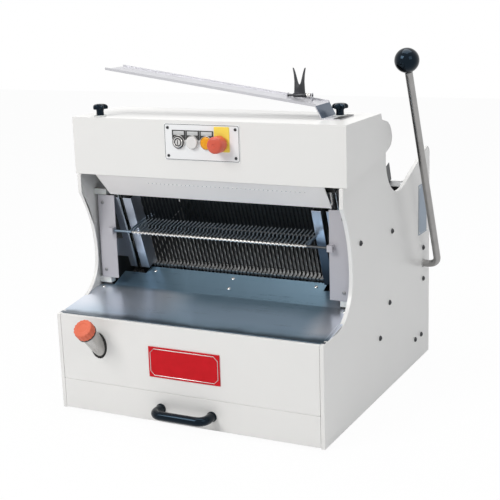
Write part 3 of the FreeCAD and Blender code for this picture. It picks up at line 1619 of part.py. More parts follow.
def filler():
    """A slanted steel neck into the oil tank, with a seal and a screwed cap."""
    inside = 42
    tube = rod("filler_outside", filler_axis, "y", (-neck_place, -filler_length, 0),
               filler_radius, filler_length + inside)
    bore = rod("filler_bore", filler_axis, "y", (-neck_place, -filler_length - rim, 0),
               filler_radius - filler_wall, filler_length + inside + 2 * rim)
    part("filler_neck", cut("filler_neck_cut", tube, [bore]))
    seal = rod("filler_seal_disc", filler_axis, "y",
               (-neck_place, -filler_length - seal_height, 0), cap_radius, seal_height)
    seal_bore = rod("filler_seal_bore", filler_axis, "y",
                    (-neck_place, -filler_length - rim, 0), filler_radius - filler_wall, 2 * rim)
    part("filler_seal", cut("filler_seal_cut", seal, [seal_bore]))
    cap_start = -filler_length - seal_height - cap_height
    cap = rod("filler_cap_disc", filler_axis, "y", (-neck_place, cap_start, 0), cap_radius,
              cap_height)
    plug = rod("filler_cap_plug", filler_axis, "y", (-neck_place, cap_start + cap_height, 0),
               filler_radius - filler_wall - running_gap, rim + seal_height)
    part("filler_cap", fuse("filler_cap_fuse", [cap, plug]))
    tank_low = drawer_height + 3 * rim
    tank = centred_box("tank_shell", machine, -neck_place, 2 * rim + skin, tank_low,
                       (5 * rim + filler_radius * 2, 10 * rim, 5 * rim))
    hollow = centred_box("tank_hollow", machine, -neck_place, 2 * rim + 2 * skin,
                         tank_low + skin, (5 * rim + filler_radius * 2 - 2 * skin,
                                           10 * rim - 2 * skin, 5 * rim - 2 * skin))
    mouth = rod("tank_mouth", filler_axis, "y", (-neck_place, -rim, 0), filler_radius,
                inside + rim)
    part("oil_tank", cut("oil_tank_cut", tank, [hollow, mouth]))


def drawer():
    """A crumb tray on the pan's runners, behind a front that fills the casing's foot."""
    low = pan_height + skin + runner_height
    face = centred_box("drawer_face", machine, 0, 0, skin, (between_rims, skin,
                                                            drawer_height - skin))
    outside = centred_box("drawer_outside", machine, 0, skin, low,
                          (drawer_width, drawer_depth, drawer_pan_height))
    inside = centred_box("drawer_inside", machine, 0, skin + drawer_wall, low + drawer_wall,
                         (drawer_width - 2 * drawer_wall, drawer_depth - 2 * drawer_wall,
                          drawer_pan_height))
    part("crumb_drawer", group("drawer_group", [face, cut("drawer_pan", outside, [inside])]))


def drawer_handle():
    """A round-bar pull with two flanged feet."""
    bend = 2 * handle_radius
    end = handle_centres / 2
    pieces = [rod("handle_bar", machine, "x", (bend - end, -handle_reach, handle_height),
                  handle_radius, 2 * (end - bend))]
    for side_name, side in SIDES.items():
        x = side * end
        pieces.append(rod("handle_leg_" + side_name, machine, "y",
                          (x, bend - handle_reach, handle_height), handle_radius,
                          handle_reach - bend))
        pieces.append(rod("handle_foot_" + side_name, machine, "y",
                          (x, -2 * skin, handle_height), handle_radius * 1.15, 2 * skin))
        elbow = doc.addObject("Part::Torus", "handle_elbow_" + side_name)
        elbow.setExpression("Radius1", bend.text)
        elbow.setExpression("Radius2", handle_radius.text)
        elbow.Angle3 = 90
        machine.place(elbow, side * (end - bend), bend - handle_reach, handle_height,
                      turn=180 if side == LEFT else -90, about=Z_AXIS)
        pieces.append(elbow)
    part("drawer_handle", fuse("drawer_handle_fuse", pieces))


def bare_plates():
    """A nameplate on the front and a data plate on the right, both without any text."""
    part("nameplate", centred_box("nameplate_sheet", machine, 0, -skin,
                                  plate_centre - plate_height / 2,
                                  (plate_width, skin, plate_height)))
    data_low = 314
    data_tall = 122
    data_wide = 60
    data_lead = 36
    data_run = lever_run - data_lead
    part("data_plate", box("data_plate_sheet", machine, (half, data_run, data_low),
                           (skin / 2, data_wide, data_tall)))


def side_bolts():
    """Bolt heads on both side panels, where the bearings, rails and pan are held."""
    bearing_bolt = 39
    rail_front = feed.point(front_rail_place + rail_tube / 2, -skin - rail_tube / 2)
    crank_bolt = feed.point(0, crank_level + bearing_block / 4)
    places = [
        (lever_run, lever_height + bearing_bolt),
        (lever_run, lever_height - bearing_bolt),
        (throat_run + 5 * rim, brow_height - 10 * rim),
        (rail_front[0] - front + 7 * rim, rail_front[1] + 7 * rim),
        (rail_front[0] - front + 5 * rim, rail_front[1] - 11 * rim),
        (crank_bolt[0] - front + rim, crank_bolt[1] - 3 * rim),
        (body_depth - 12 * rim, foot_inset),
        (body_depth - 7 * rim, foot_inset)]
    bolts = []
    for side_name, side in SIDES.items():
        start = half if side == RIGHT else -half - bolt_head
        for index, (run, height) in enumerate(places):
            bolts.append(rod("bolt_%s_%d" % (side_name, index), machine, "x",
                             (start, run, height), bolt_radius, bolt_head))
    return bolts


filler()
drawer()
drawer_handle()
bare_plates()
part("fasteners", group("fasteners_group", small_screws() + side_bolts()))


# ---------------------------------------------------------------- export

def check_and_export():
    """Stops at any failed object, then writes one STEP file for each sub-part."""
    doc.recompute()
    for item in doc.Objects:
        if "Invalid" in item.State or "Error" in item.State:
            raise RuntimeError("%s failed: %s" % (item.Name, item.State))
    os.makedirs("parts", exist_ok=True)
    for item in parts:
        if item.Shape.isNull() or not item.Shape.isValid():
            raise RuntimeError("%s has no valid shape" % item.Label)
    for item in parts:
        item.Shape.exportStep(os.path.join("parts", item.Label + ".step"))


check_and_export()
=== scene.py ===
"""Looks of the table-top bread slicer: its finishes, its folded sheets and its small parts."""

import json
import math

import bmesh
import bpy
from mathutils import Matrix, Vector

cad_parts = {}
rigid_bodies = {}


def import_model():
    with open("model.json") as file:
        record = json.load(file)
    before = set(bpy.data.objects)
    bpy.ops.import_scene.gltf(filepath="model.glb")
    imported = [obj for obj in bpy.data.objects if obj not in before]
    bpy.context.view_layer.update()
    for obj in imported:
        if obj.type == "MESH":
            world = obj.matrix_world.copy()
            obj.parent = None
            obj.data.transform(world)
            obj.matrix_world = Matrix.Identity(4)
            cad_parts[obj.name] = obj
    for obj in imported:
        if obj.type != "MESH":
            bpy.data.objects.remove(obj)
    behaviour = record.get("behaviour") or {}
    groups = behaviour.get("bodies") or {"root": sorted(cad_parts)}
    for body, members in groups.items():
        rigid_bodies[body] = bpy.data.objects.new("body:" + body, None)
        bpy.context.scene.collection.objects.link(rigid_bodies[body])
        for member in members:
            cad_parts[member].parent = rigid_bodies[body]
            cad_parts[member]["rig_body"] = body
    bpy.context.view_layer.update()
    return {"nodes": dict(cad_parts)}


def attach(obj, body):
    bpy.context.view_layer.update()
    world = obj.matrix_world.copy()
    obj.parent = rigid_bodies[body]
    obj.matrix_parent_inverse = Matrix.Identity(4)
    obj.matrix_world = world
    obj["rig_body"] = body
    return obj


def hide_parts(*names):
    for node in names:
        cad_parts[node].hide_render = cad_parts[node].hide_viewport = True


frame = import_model()
nodes = frame["nodes"]
MM = 0.001


# ---- the machine's own lines

def rising(degrees):
    """A unit vector that runs backwards and rises; past 90 degrees it leans forwards."""
    slope = math.radians(degrees)
    return Vector((0, math.cos(slope), math.sin(slope)))


SIDEWAYS = Vector((1, 0, 0))
BACKWARDS = Vector((0, 1, 0))
FORWARDS = Vector((0, -1, 0))
UPWARDS = Vector((0, 0, 1))
FRONT_FACE = -0.3375
REAR_FACE = 0.3375

BLADE_COUNT = 46
BLADE_PITCH = 9.5 * MM
FEED_START = Vector((0, -0.0715, 0.292))
FEED_SLOPE = 20
DOWN_FEED = rising(FEED_SLOPE)
UP_BLADES = rising(FEED_SLOPE + 90)

HOLD_START = Vector((0, -0.1745, 0.381))
HOLD_RISE = 12.5
ALONG_FINGERS = rising(HOLD_RISE)


# ---- camera

CAMERA_PLACE = Vector((1.157, -2.2985, 0.938))
CAMERA_AZIMUTH = math.radians(26.84)
CAMERA_PITCH = math.radians(13.59)
CAMERA_ROLL = math.radians(-1.86)
CAMERA_LENS = 81.76


def set_camera():
    """A camera in front of the machine's right corner, a little above the head."""
    data = bpy.data.cameras.new("camera")
    data.lens = CAMERA_LENS
    data.sensor_width = 36
    data.clip_start = 0.05
    camera = bpy.data.objects.new("camera", data)
    bpy.context.scene.collection.objects.link(camera)
    camera.matrix_world = (Matrix.Translation(CAMERA_PLACE)
                           @ Matrix.Rotation(CAMERA_AZIMUTH, 4, "Z")
                           @ Matrix.Rotation(math.pi / 2 - CAMERA_PITCH, 4, "X")
                           @ Matrix.Rotation(CAMERA_ROLL, 4, "Z"))
    bpy.context.scene.camera = camera


set_camera()


# ---- finishes: the shader tools

class Wire:
    """An output of a node. Arithmetic on it adds Math nodes."""

    def __init__(self, wiring, socket):
        self.wiring = wiring
        self.socket = socket

    def __add__(self, other):
        return self.wiring.maths("ADD", self, other)

    def __sub__(self, other):
        return self.wiring.maths("SUBTRACT", self, other)

    def __mul__(self, other):
        return self.wiring.maths("MULTIPLY", self, other)

    def fade(self, start, end, low, high, kind="LINEAR"):
        """Runs from low to high as the wire runs from start to end, and is level outside."""
        return self.wiring.node("ShaderNodeMapRange",
                                {0: self, 1: start, 2: end, 3: low, 4: high},
                                clamp=True, interpolation_type=kind)

    def between(self, low, high):
        """Follows a noise: low in its hollows, high on its crests."""
        return self.fade(0.3, 0.7, low, high)


class Wiring:
    """Adds nodes to a node tree and links them."""

    def __init__(self, tree):
        self.tree = tree

    def node(self, kind, sockets=None, output=0, **settings):
        """Adds a node: its settings first, then the values or wires of its sockets."""
        made = self.tree.nodes.new(kind)
        for name, value in settings.items():
            setattr(made, name, value)
        for name, value in (sockets or {}).items():
            self.feed(made.inputs[name], value)
        return Wire(self, made.outputs[output])

    def feed(self, socket, value):
        """Links a wire to a socket, or sets the socket's own value."""
        if isinstance(value, Wire):
            self.tree.links.new(value.socket, socket)
        elif isinstance(value, tuple) and len(value) == 3 and len(socket.default_value) == 4:
            socket.default_value = (*value, 1)
        else:
            socket.default_value = value

    def maths(self, operation, first, second):
        """The result of a Math node."""
        return self.node("ShaderNodeMath", {0: first, 1: second}, operation=operation)

    def seen_directly(self):
        """1 for rays from the camera and rays off glossy faces, 0 for all others."""
        return self.maths("MAXIMUM", self.node("ShaderNodeLightPath", output="Is Camera Ray"),
                          self.node("ShaderNodeLightPath", output="Is Glossy Ray"))


class Finish(Wiring):
    """A material with one Principled shader; its fixed numbers are set on the shader itself."""

    def __init__(self, name, **fixed):
        self.material = bpy.data.materials.new(name)
        self.material.use_nodes = True
        super().__init__(self.material.node_tree)
        self.shader = self.tree.nodes["Principled BSDF"]
        for socket, value in fixed.items():
            self.shader.inputs[socket.replace("_", " ")].default_value = value

    def surface(self, colour, wear, low, high, height, depth, strength=0.5, metallic=None):
        """Feeds the shader: roughness from low to high by wear, bumps of a depth by height."""
        bumps = self.node("ShaderNodeBump",
                          {"Height": height, "Distance": depth, "Strength": strength})
        self.feed(self.shader.inputs["Base Color"], colour)
        self.feed(self.shader.inputs["Roughness"], wear.between(low, high))
        self.feed(self.shader.inputs["Normal"], bumps)
        if metallic:
            self.feed(self.shader.inputs["Metallic"], metallic)
        return self.material

    def noise(self, size, detail=3, stretch=(1, 1, 1)):
        """Noise whose blotches are about size metres wide, before stretching."""
        place = self.node("ShaderNodeTexCoord", output="Object")
        grain = self.node("ShaderNodeMapping", {"Vector": place, "Scale": stretch})
        return self.node("ShaderNodeTexNoise", {"Vector": grain, "Scale": 1 / size,
                                                "Detail": detail, "Roughness": 0.55})

    def mix(self, factor, first, second):
        """A colour between two colours."""
        return self.node("ShaderNodeMix", {0: factor, 6: first, 7: second}, output=2,
                         data_type="RGBA")

    def along(self, direction, start=Vector()):
        """How far a point of the piece lies from the start along a direction."""
        place = self.node("ShaderNodeTexCoord", output="Object")
        reach = self.node("ShaderNodeVectorMath", {0: place, 1: tuple(direction)},
                          output="Value", operation="DOT_PRODUCT")
        return reach - start.dot(direction)


# ---- finishes

def powder_coat(name, colour, shadow, low=0.30, high=0.36):
    """Baked powder coat: an even colour, a fine orange-peel surface and faint handling marks."""
    coat = Finish(name, Coat_Weight=0.15, Coat_Roughness=0.18)
    cloud = coat.noise(0.16, 4)
    return coat.surface(coat.mix(cloud.between(0, 1), colour, shadow),
                        cloud * 0.6 + coat.noise(0.03) * 0.4, low, high,
                        coat.noise(0.003, 2), 0.04 * MM, 0.3)


def brushed(name, light, dark, low, high, along=SIDEWAYS, metallic=1.0):
    """Brushed sheet: hairlines drawn along one direction over a slightly uneven metal."""
    metal = Finish(name, Metallic=metallic)
    stretch = tuple(0.02 if part else 1.0 for part in along)
    hair = metal.noise(0.0007, 3, stretch)
    tone = metal.noise(0.006, 4, stretch) * 0.35 + metal.noise(0.09) * 0.65
    return metal.surface(metal.mix(tone.between(0, 1), dark, light),
                         hair * 0.5 + tone * 0.5, low, high, hair, 0.02 * MM)


def turned(name, colour, mark, low, high, metallic=1.0):
    """Ground or turned steel: a soft change of tone and a fine, even tooth."""
    metal = Finish(name, Metallic=metallic)
    cloud = metal.noise(0.03)
    tooth = metal.noise(0.0006, 2)
    return metal.surface(metal.mix(cloud.between(0, 1), mark, colour),
                         cloud * 0.6 + tooth * 0.4, low, high, tooth, 0.006 * MM, 0.3)


def band_steel(name, body, edge, shade_above_loaf):
    """Blade steel with painted light: a near-black band as painted shade, its front edge painted
    bright as a painted highlight on the lit crests, and painted shade above the loaf.
    """
    metal = Finish(name, Metallic=0.35, Specular_IOR_Level=0.25)
    # Painted highlight: the front few millimetres of each blade, round its crests, are painted
    # bright.
    ground = metal.along(DOWN_FEED, FEED_START).fade(-4.8 * MM, -3.8 * MM, 1.0, 0.0)
    # Painted shade: the blades are painted darker still above the loaf, where the head shades them.
    darkened = metal.along(UP_BLADES, FEED_START).fade(0.080, 0.094, 0.0, 0.97)
    stain = metal.noise(0.012, 4)
    rolled = metal.mix(stain.between(0, 1), body, tuple(part * 0.7 for part in body))
    return metal.surface(metal.mix(darkened, metal.mix(ground, rolled, edge), shade_above_loaf),
                         stain, 0.36, 0.48, metal.noise(0.0006, 2), 0.008 * MM, 0.4)


def wire_steel(name, worn, darkened):
    """Wire in its own bright tone at its bar, painted dark behind it as painted shade where the
    blades and the head shade it.
    """
    metal = Finish(name)
    # Painted shade: the fingers turn dark and less metallic behind their bar.
    dark = metal.along(ALONG_FINGERS, HOLD_START).fade(0.001, 0.010, 0.0, 0.95)
    return metal.surface(metal.mix(dark, worn, darkened), metal.noise(0.02), 0.22, 0.36,
                         metal.noise(0.0006, 2), 0.006 * MM, 0.3, dark * -0.6 + 0.8)


def tray_steel(name, hollow, band, edge, fold):
    """The tray's brushed sheet with painted light: a painted highlight band across its middle,
    painted reflections of the side panels towards its sides, and painted shadow along its front.
    """
    metal = Finish(name, Metallic=0.85)
    hair = metal.noise(0.0007, 3, (0.02, 1, 1))
    streak = metal.noise(0.008, 4, (0.03, 1, 1))
    wander = (metal.noise(0.14) - 0.5) * 0.05
    across = metal.along(SIDEWAYS) + wander
    back = metal.along(BACKWARDS) + wander

    def eased(wire, start, end, low=0.0, high=1.0):
        """A fade with soft ends."""
        return wire.fade(start, end, low, high, "SMOOTHSTEP")

    # Painted highlight: the sheet turns from its darker tone to the paler band near the middle of
    # its run.
    sheet_middle = -0.252
    middle = eased(metal.maths("ABSOLUTE", back - sheet_middle, 0.0), 0.015, 0.085, 1.0, 0.0)
    # Painted reflection of the white side panels: the sheet turns pale at its left front and along
    # its right side.
    left = (eased(across, -0.295, -0.240, 1.0, 0.75) * eased(across, -0.150, -0.030, 1.0, 0.0)
            * eased(back, -0.310, -0.240, 0.55, 1.0) * eased(back, -0.185, -0.155, 1.0, 0.0))
    right = eased(across, 0.240, 0.300) * eased(back, -0.325, -0.270)
    # Painted shadow: a near-black strip along the front edge.
    front = eased(back, -0.322, -0.298, 0.85, 0.0)
    tone = metal.mix(middle + streak.between(-0.03, 0.05), hollow, band)
    tone = metal.mix(metal.maths("MAXIMUM", left, right), tone, edge)
    return metal.surface(metal.mix(front, tone, fold), hair * 0.5 + streak * 0.5, 0.26, 0.34,
                         hair, 0.01 * MM)


def cover_steel(name, bare_sheet, darkened):
    """The blade covers' brushed sheet; the right one is painted dark as painted shade, deeply below
    the hold-down.
    """
    metal = Finish(name, Metallic=0.8)
    hair = metal.noise(0.0007, 3, (1, 1, 0.02))
    cloud = metal.noise(0.09)
    # Painted shade: the right cover is painted dark, deeply below the hold-down and partly above
    # it.
    low = metal.along(UP_BLADES, FEED_START).fade(0.105, 0.135, 0.97, 0.30)
    right = metal.along(SIDEWAYS).fade(0.0, 0.1, 0.0, 1.0)
    return metal.surface(metal.mix(low * right + cloud.between(0, 0.10), bare_sheet, darkened),
                         hair * 0.5 + cloud * 0.5, 0.28, 0.42, hair, 0.02 * MM)


def moulded(name, colour, worn, low, high, tooth_size=0.6 * MM, depth=0.02 * MM, **fixed):
    """Moulded plastic or rubber: a faint mottle, a fine tooth and a slightly rubbed gloss."""
    plastic = Finish(name, **fixed)
    mottle = plastic.noise(0.02, 4)
    tooth = plastic.noise(tooth_size, 2)
    return plastic.surface(plastic.mix(mottle.between(0, 1), colour, worn),
                           mottle * 0.6 + tooth * 0.4, low, high, tooth, depth)


WHITE_COAT = powder_coat("white powder coat", (0.80, 0.795, 0.780), (0.79, 0.786, 0.772))
# Painted light: the apron's white coat is made lighter and warmer than the casing's, to make up for
# the head's shade on it.
APRON_COAT = powder_coat("apron powder coat", (0.88, 0.85, 0.83), (0.85, 0.82, 0.81), 0.36, 0.44)
POST_COAT = powder_coat("grey post coat", (0.47, 0.46, 0.495), (0.44, 0.435, 0.47), 0.32, 0.45)
MOTOR_COAT = powder_coat("blue motor enamel", (0.06, 0.11, 0.18), (0.05, 0.09, 0.15), 0.35, 0.5)
PANEL_WHITE = powder_coat("white control plate", (0.86, 0.87, 0.88), (0.84, 0.85, 0.86),
                          0.3, 0.4)
# The tray's tones paint its light: a dark teal sheet, a paler painted highlight band, pale painted
# reflections at the sides and a near-black painted shadow at the front.
TRAY_STEEL = tray_steel("brushed tray steel", (0.22, 0.35, 0.46), (0.38, 0.52, 0.66),
                        (0.78, 0.82, 0.90), (0.05, 0.07, 0.09))
RACK_STEEL = brushed("pale rack steel", (0.57, 0.57, 0.60), (0.50, 0.50, 0.53), 0.30, 0.42,
                     metallic=0.5)
# A darker copy of the rack steel: painted shade for the riser.
RISER_STEEL = brushed("shaded rack steel", (0.13, 0.165, 0.22), (0.10, 0.13, 0.18), 0.30, 0.42,
                      metallic=0.5)
# A near-black coat for painted shade on the side panels' inner faces.
INNER_SHADE_COAT = powder_coat("dark inner coat", (0.035, 0.045, 0.052), (0.025, 0.032, 0.038),
                          0.30, 0.42)
# The second tone is painted shade for the right cover.
COVER_STEEL = cover_steel("brushed cover steel", (0.40, 0.44, 0.51), (0.025, 0.03, 0.04))
# Painted shade: the infeed table and pusher plate are made near-black, as they lie in the head's
# shade.
DARK_SHEET = brushed("shaded trough steel", (0.075, 0.08, 0.085), (0.05, 0.055, 0.06),
                     0.34, 0.46, metallic=0.6)
DARK_STEEL = turned("oiled steel", (0.07, 0.072, 0.075), (0.045, 0.046, 0.05), 0.34, 0.46)
GROUND_STEEL = turned("ground steel", (0.50, 0.50, 0.50), (0.42, 0.42, 0.42), 0.22, 0.34)
LEVER_STEEL = turned("drawn steel", (0.38, 0.375, 0.37), (0.32, 0.315, 0.31), 0.34, 0.46)
BRIGHT_STEEL = turned("bright steel", (0.76, 0.75, 0.73), (0.66, 0.65, 0.64), 0.14, 0.24)
ZINC = turned("zinc plate", (0.30, 0.305, 0.31), (0.22, 0.225, 0.23), 0.34, 0.52)
IRON = turned("machined iron", (0.14, 0.14, 0.145), (0.10, 0.10, 0.10), 0.42, 0.6)
# Painted light in the blade tones: a near-black body for painted shade, a bright edge for a painted
# highlight, and a darker tone for painted shade above the loaf.
BAND_STEEL = band_steel("blade band steel", (0.040, 0.038, 0.039), (0.95, 0.90, 0.85),
                        (0.012, 0.018, 0.024))
# The second tone is painted shade on the fingers behind their bar.
WIRE_STEEL = wire_steel("hold-down wire", (0.62, 0.60, 0.57), (0.16, 0.20, 0.24))
NECK_STEEL = turned("drawn tube steel", (0.50, 0.49, 0.475), (0.42, 0.41, 0.40), 0.12, 0.20)
COLLAR_BLUE = turned("blued arm steel", (0.16, 0.21, 0.27), (0.11, 0.15, 0.19), 0.24, 0.36,
                     metallic=0.6)
# Painted reflection: the blue specular tint tints what the black plastic reflects.
BLACK_GLOSS = moulded("black glossy plastic", (0.002, 0.0025, 0.0035), (0.003, 0.004, 0.005),
                      0.06, 0.12, depth=0.002 * MM, Specular_IOR_Level=0.35,
                      Specular_Tint=(0.30, 0.50, 0.72, 1))
BLACK_SATIN = moulded("black satin plastic", (0.018, 0.018, 0.018), (0.03, 0.03, 0.03),
                      0.34, 0.48)
WHITE_NYLON = moulded("white nylon", (0.74, 0.75, 0.74), (0.66, 0.67, 0.66), 0.34, 0.5,
                      Subsurface_Weight=0.05)
GREY_BUTTON = moulded("pale grey button plastic", (0.78, 0.77, 0.76), (0.72, 0.71, 0.70),
                      0.28, 0.4)
AMBER = moulded("amber lens", (0.88, 0.37, 0.010), (0.80, 0.31, 0.008), 0.14, 0.24,
                Specular_IOR_Level=0.3, Subsurface_Weight=0.1)
SIGNAL_RED = moulded("signal red plastic", (0.66, 0.10, 0.055), (0.58, 0.085, 0.045),
                     0.30, 0.42)
CAP_ORANGE = moulded("orange cap plastic", (0.74, 0.17, 0.095), (0.68, 0.15, 0.08), 0.4, 0.55,
                     Specular_IOR_Level=0.25)
YELLOW = moulded("yellow plate", (0.94, 0.74, 0.12), (0.90, 0.69, 0.10), 0.35, 0.48,
                 Specular_IOR_Level=0.2)
SILVER = moulded("silver insert", (0.56, 0.57, 0.57), (0.48, 0.49, 0.49), 0.3, 0.45,
                 Metallic=0.7)
RUBBER = moulded("black rubber", (0.02, 0.02, 0.02), (0.035, 0.035, 0.034), 0.55, 0.75,
                 tooth_size=1 * MM, depth=0.06 * MM)
PLATE_RED = moulded("red enamelled plate", (0.60, 0.008, 0.016), (0.54, 0.007, 0.013),
                    0.3, 0.42, Specular_IOR_Level=0.12)
PLATE_BLUE = brushed("blue-grey anodised plate", (0.27, 0.33, 0.41), (0.22, 0.28, 0.35),
                     0.34, 0.48, along=BACKWARDS, metallic=0.5)


# ---- mesh tools

def link(name, mesh):
    """A new object at the origin that holds the mesh."""
    piece = bpy.data.objects.new(name, mesh)
    bpy.context.scene.collection.objects.link(piece)
    return piece


def stand_for(piece, node):
    """The piece rides on the node's body and replaces the node."""
    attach(piece, nodes[node]["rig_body"])
    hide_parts(node)
    return piece


def smooth(mesh):
    """Smooth shading, sharp where faces meet at more than 35 degrees."""
    mesh.polygons.foreach_set("use_smooth", [True] * len(mesh.polygons))
    mesh.set_sharp_from_angle(angle=math.radians(35))
    return mesh


def in_finish(mesh, finish):
    """The mesh, all in one finish."""
    mesh.materials.clear()
    mesh.materials.append(finish)
    return mesh


def merged_copy(node):
    """A node's mesh with its loose triangles joined up again."""
    mesh = nodes[node].data.copy()
    shape = bmesh.new()
    shape.from_mesh(mesh)
    bmesh.ops.remove_doubles(shape, verts=shape.verts, dist=0.01 * MM)
    bmesh.ops.dissolve_limit(shape, angle_limit=math.radians(0.4), verts=shape.verts,
                             edges=shape.edges)
    shape.to_mesh(mesh)
    shape.free()
    return mesh


def rounded(node, finish, radius, segments=3):
    """Stands for a node: the same solid with its sharp edges rounded off."""
    piece = link(node + "_rounded", in_finish(smooth(merged_copy(node)), finish))
    bevel = piece.modifiers.new("rounded edges", "BEVEL")
    bevel.width = radius
    bevel.segments = segments
    bevel.limit_method = "ANGLE"
    bevel.angle_limit = math.radians(40)
    bevel.harden_normals = True
    return stand_for(piece, node)


def mesh_of(shape, name):
    """A new mesh from a worked shape, which is freed."""
    mesh = bpy.data.meshes.new(name)
    shape.to_mesh(mesh)
    shape.free()
    return mesh


def skin(name, rings, capped=True):
    """A mesh over rings of points, facing outwards; a ring of one point is a tip.

    Capped, its first and last rings are closed with a face each.
    """
    faces = []
    start = 0
    for low, high in zip(rings, rings[1:]):
        above = start + len(low)
        for side in range(max(len(low), len(high))):
            after = side + 1
            corners = (start + side % len(low), start + after % len(low),
                       above + after % len(high), above + side % len(high))
            face = tuple(dict.fromkeys(corners))
            if len(face) > 2:
                faces.append(face)
        start = above
    if capped:
        faces += [tuple(range(len(rings[0]))), tuple(range(start, start + len(rings[-1])))]
    mesh = bpy.data.meshes.new(name)
    mesh.from_pydata([tuple(point) for ring in rings for point in ring], [], faces)
    mesh.validate()
    shape = bmesh.new()
    shape.from_mesh(mesh)
    bmesh.ops.recalc_face_normals(shape, faces=shape.faces)
    shape.to_mesh(mesh)
    shape.free()
    return mesh


def circle(sides):
    """The turn, cosine and sine of each corner of a circle with so many sides."""
    for side in range(sides):
        turn = 2 * math.pi * side / sides
        yield turn, math.cos(turn), math.sin(turn)


def spun(name, finish, profile, sides=48, radius_at=None):
    """A solid of revolution about Z through (radius, height) points in millimetres.

    radius_at(turn, radius) may change the radius round the axis, as on a ribbed cap.
    """
    rings = []
    for radius, height in profile:
        ring = []
        for turn, across, up in circle(sides):
            reach = radius_at(turn, radius) if radius_at else radius
            ring.append(Vector((reach * across, reach * up, height)) * MM)
        rings.append(ring if radius else ring[:1])
    return in_finish(skin(name, rings, capped=False), finish)


def aim(mesh, place, direction):
    """Moves a mesh made about Z so that Z runs from the place along the direction."""
    turn = Vector(direction).to_track_quat("Z", "Y").to_matrix().to_4x4()
    mesh.transform(Matrix.Translation(Vector(place)) @ turn)
    return mesh


def block(name, finish, low, high, radius):
    """A box between two corners with rounded edges."""
    shape = bmesh.new()
    bmesh.ops.create_cube(shape, size=1)
    low, high = Vector(low), Vector(high)
    for vertex in shape.verts:
        vertex.co = (low + high) / 2 + vertex.co * (high - low)
    bmesh.ops.bevel(shape, geom=shape.edges[:], offset=radius, segments=2, affect="EDGES",
                    profile=0.5)
    return in_finish(mesh_of(shape, name), finish)


def joined(name, *meshes):
    """One mesh from several; each keeps its own finish."""
    finishes = []
    shape = bmesh.new()
    for mesh in meshes:
        before = len(shape.faces)
        shape.from_mesh(mesh)
        shape.faces.ensure_lookup_table()
        for face in shape.faces[before:]:
            finish = mesh.materials[face.material_index] if mesh.materials else None
            if finish not in finishes:
                finishes.append(finish)
            face.material_index = finishes.index(finish)
    together = mesh_of(shape, name)
    for finish in finishes:
        together.materials.append(finish)
    return smooth(together)


def tube(name, finish, path, radius, sides):
    """A round bar along a list of points."""
    points = [Vector(point) for point in path]
    rings = []
    across = None
    for index, point in enumerate(points):
        before = points[max(index - 1, 0)]
        after = points[min(index + 1, len(points) - 1)]
        heading = (after - before).normalized()
        if across is None:
            across = heading.orthogonal().normalized()
        across = (across - heading * across.dot(heading)).normalized()
        other = heading.cross(across)
        rings.append([point + (across * first + other * second) * radius
                      for turn, first, second in circle(sides)])
    return in_finish(skin(name, rings), finish)


def quarter(centre, first, second, radius, steps):
    """Points of a quarter circle from one unit vector to another."""
    points = []
    for step in range(steps + 1):
        turn = math.radians(90 * step / steps)
        points.append(Vector(centre) + (Vector(first) * math.cos(turn)
                                        + Vector(second) * math.sin(turn)) * radius)
    return points


def framed(left, right, low, high, corner, steps):
    """A closed rectangle of points; its corners are cut with one step and round with more."""
    centres = ((right - corner, high - corner), (left + corner, high - corner),
               (left + corner, low + corner), (right - corner, low + corner))
    path = []
    for index, (across, up) in enumerate(centres):
        for step in range(steps + 1):
            turn = math.radians(90 * (index + step / steps))
            path.append((across + corner * math.cos(turn), up + corner * math.sin(turn)))
    return path + path[:2]


def cut_out(name, finish, outline, thickness, bevel):
    """A flat piece in the XZ plane with a rounded rim, from its outline, standing back from Y 0."""
    shape = bmesh.new()
    front = [shape.verts.new((across, 0, up)) for across, up in outline]
    face = shape.faces.new(front)
    grown = bmesh.ops.extrude_face_region(shape, geom=[face])
    for item in grown["geom"]:
        if isinstance(item, bmesh.types.BMVert):
            item.co.y += thickness
    bmesh.ops.recalc_face_normals(shape, faces=shape.faces)
    bmesh.ops.bevel(shape, geom=shape.edges[:], offset=bevel, segments=2, affect="EDGES",
                    profile=0.5, clamp_overlap=True)
    return in_finish(mesh_of(shape, name), finish)


def replace(node, *meshes):
    """Stands for a node with meshes that already have their finish."""
    stand_for(link(node + "_made", joined(node + "_made", *meshes)), node)


def beside(node, name, *meshes):
    """Adds small parts that ride with a node."""
    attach(link(name, joined(name, *meshes)), nodes[node]["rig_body"])


# ---- geometry nodes

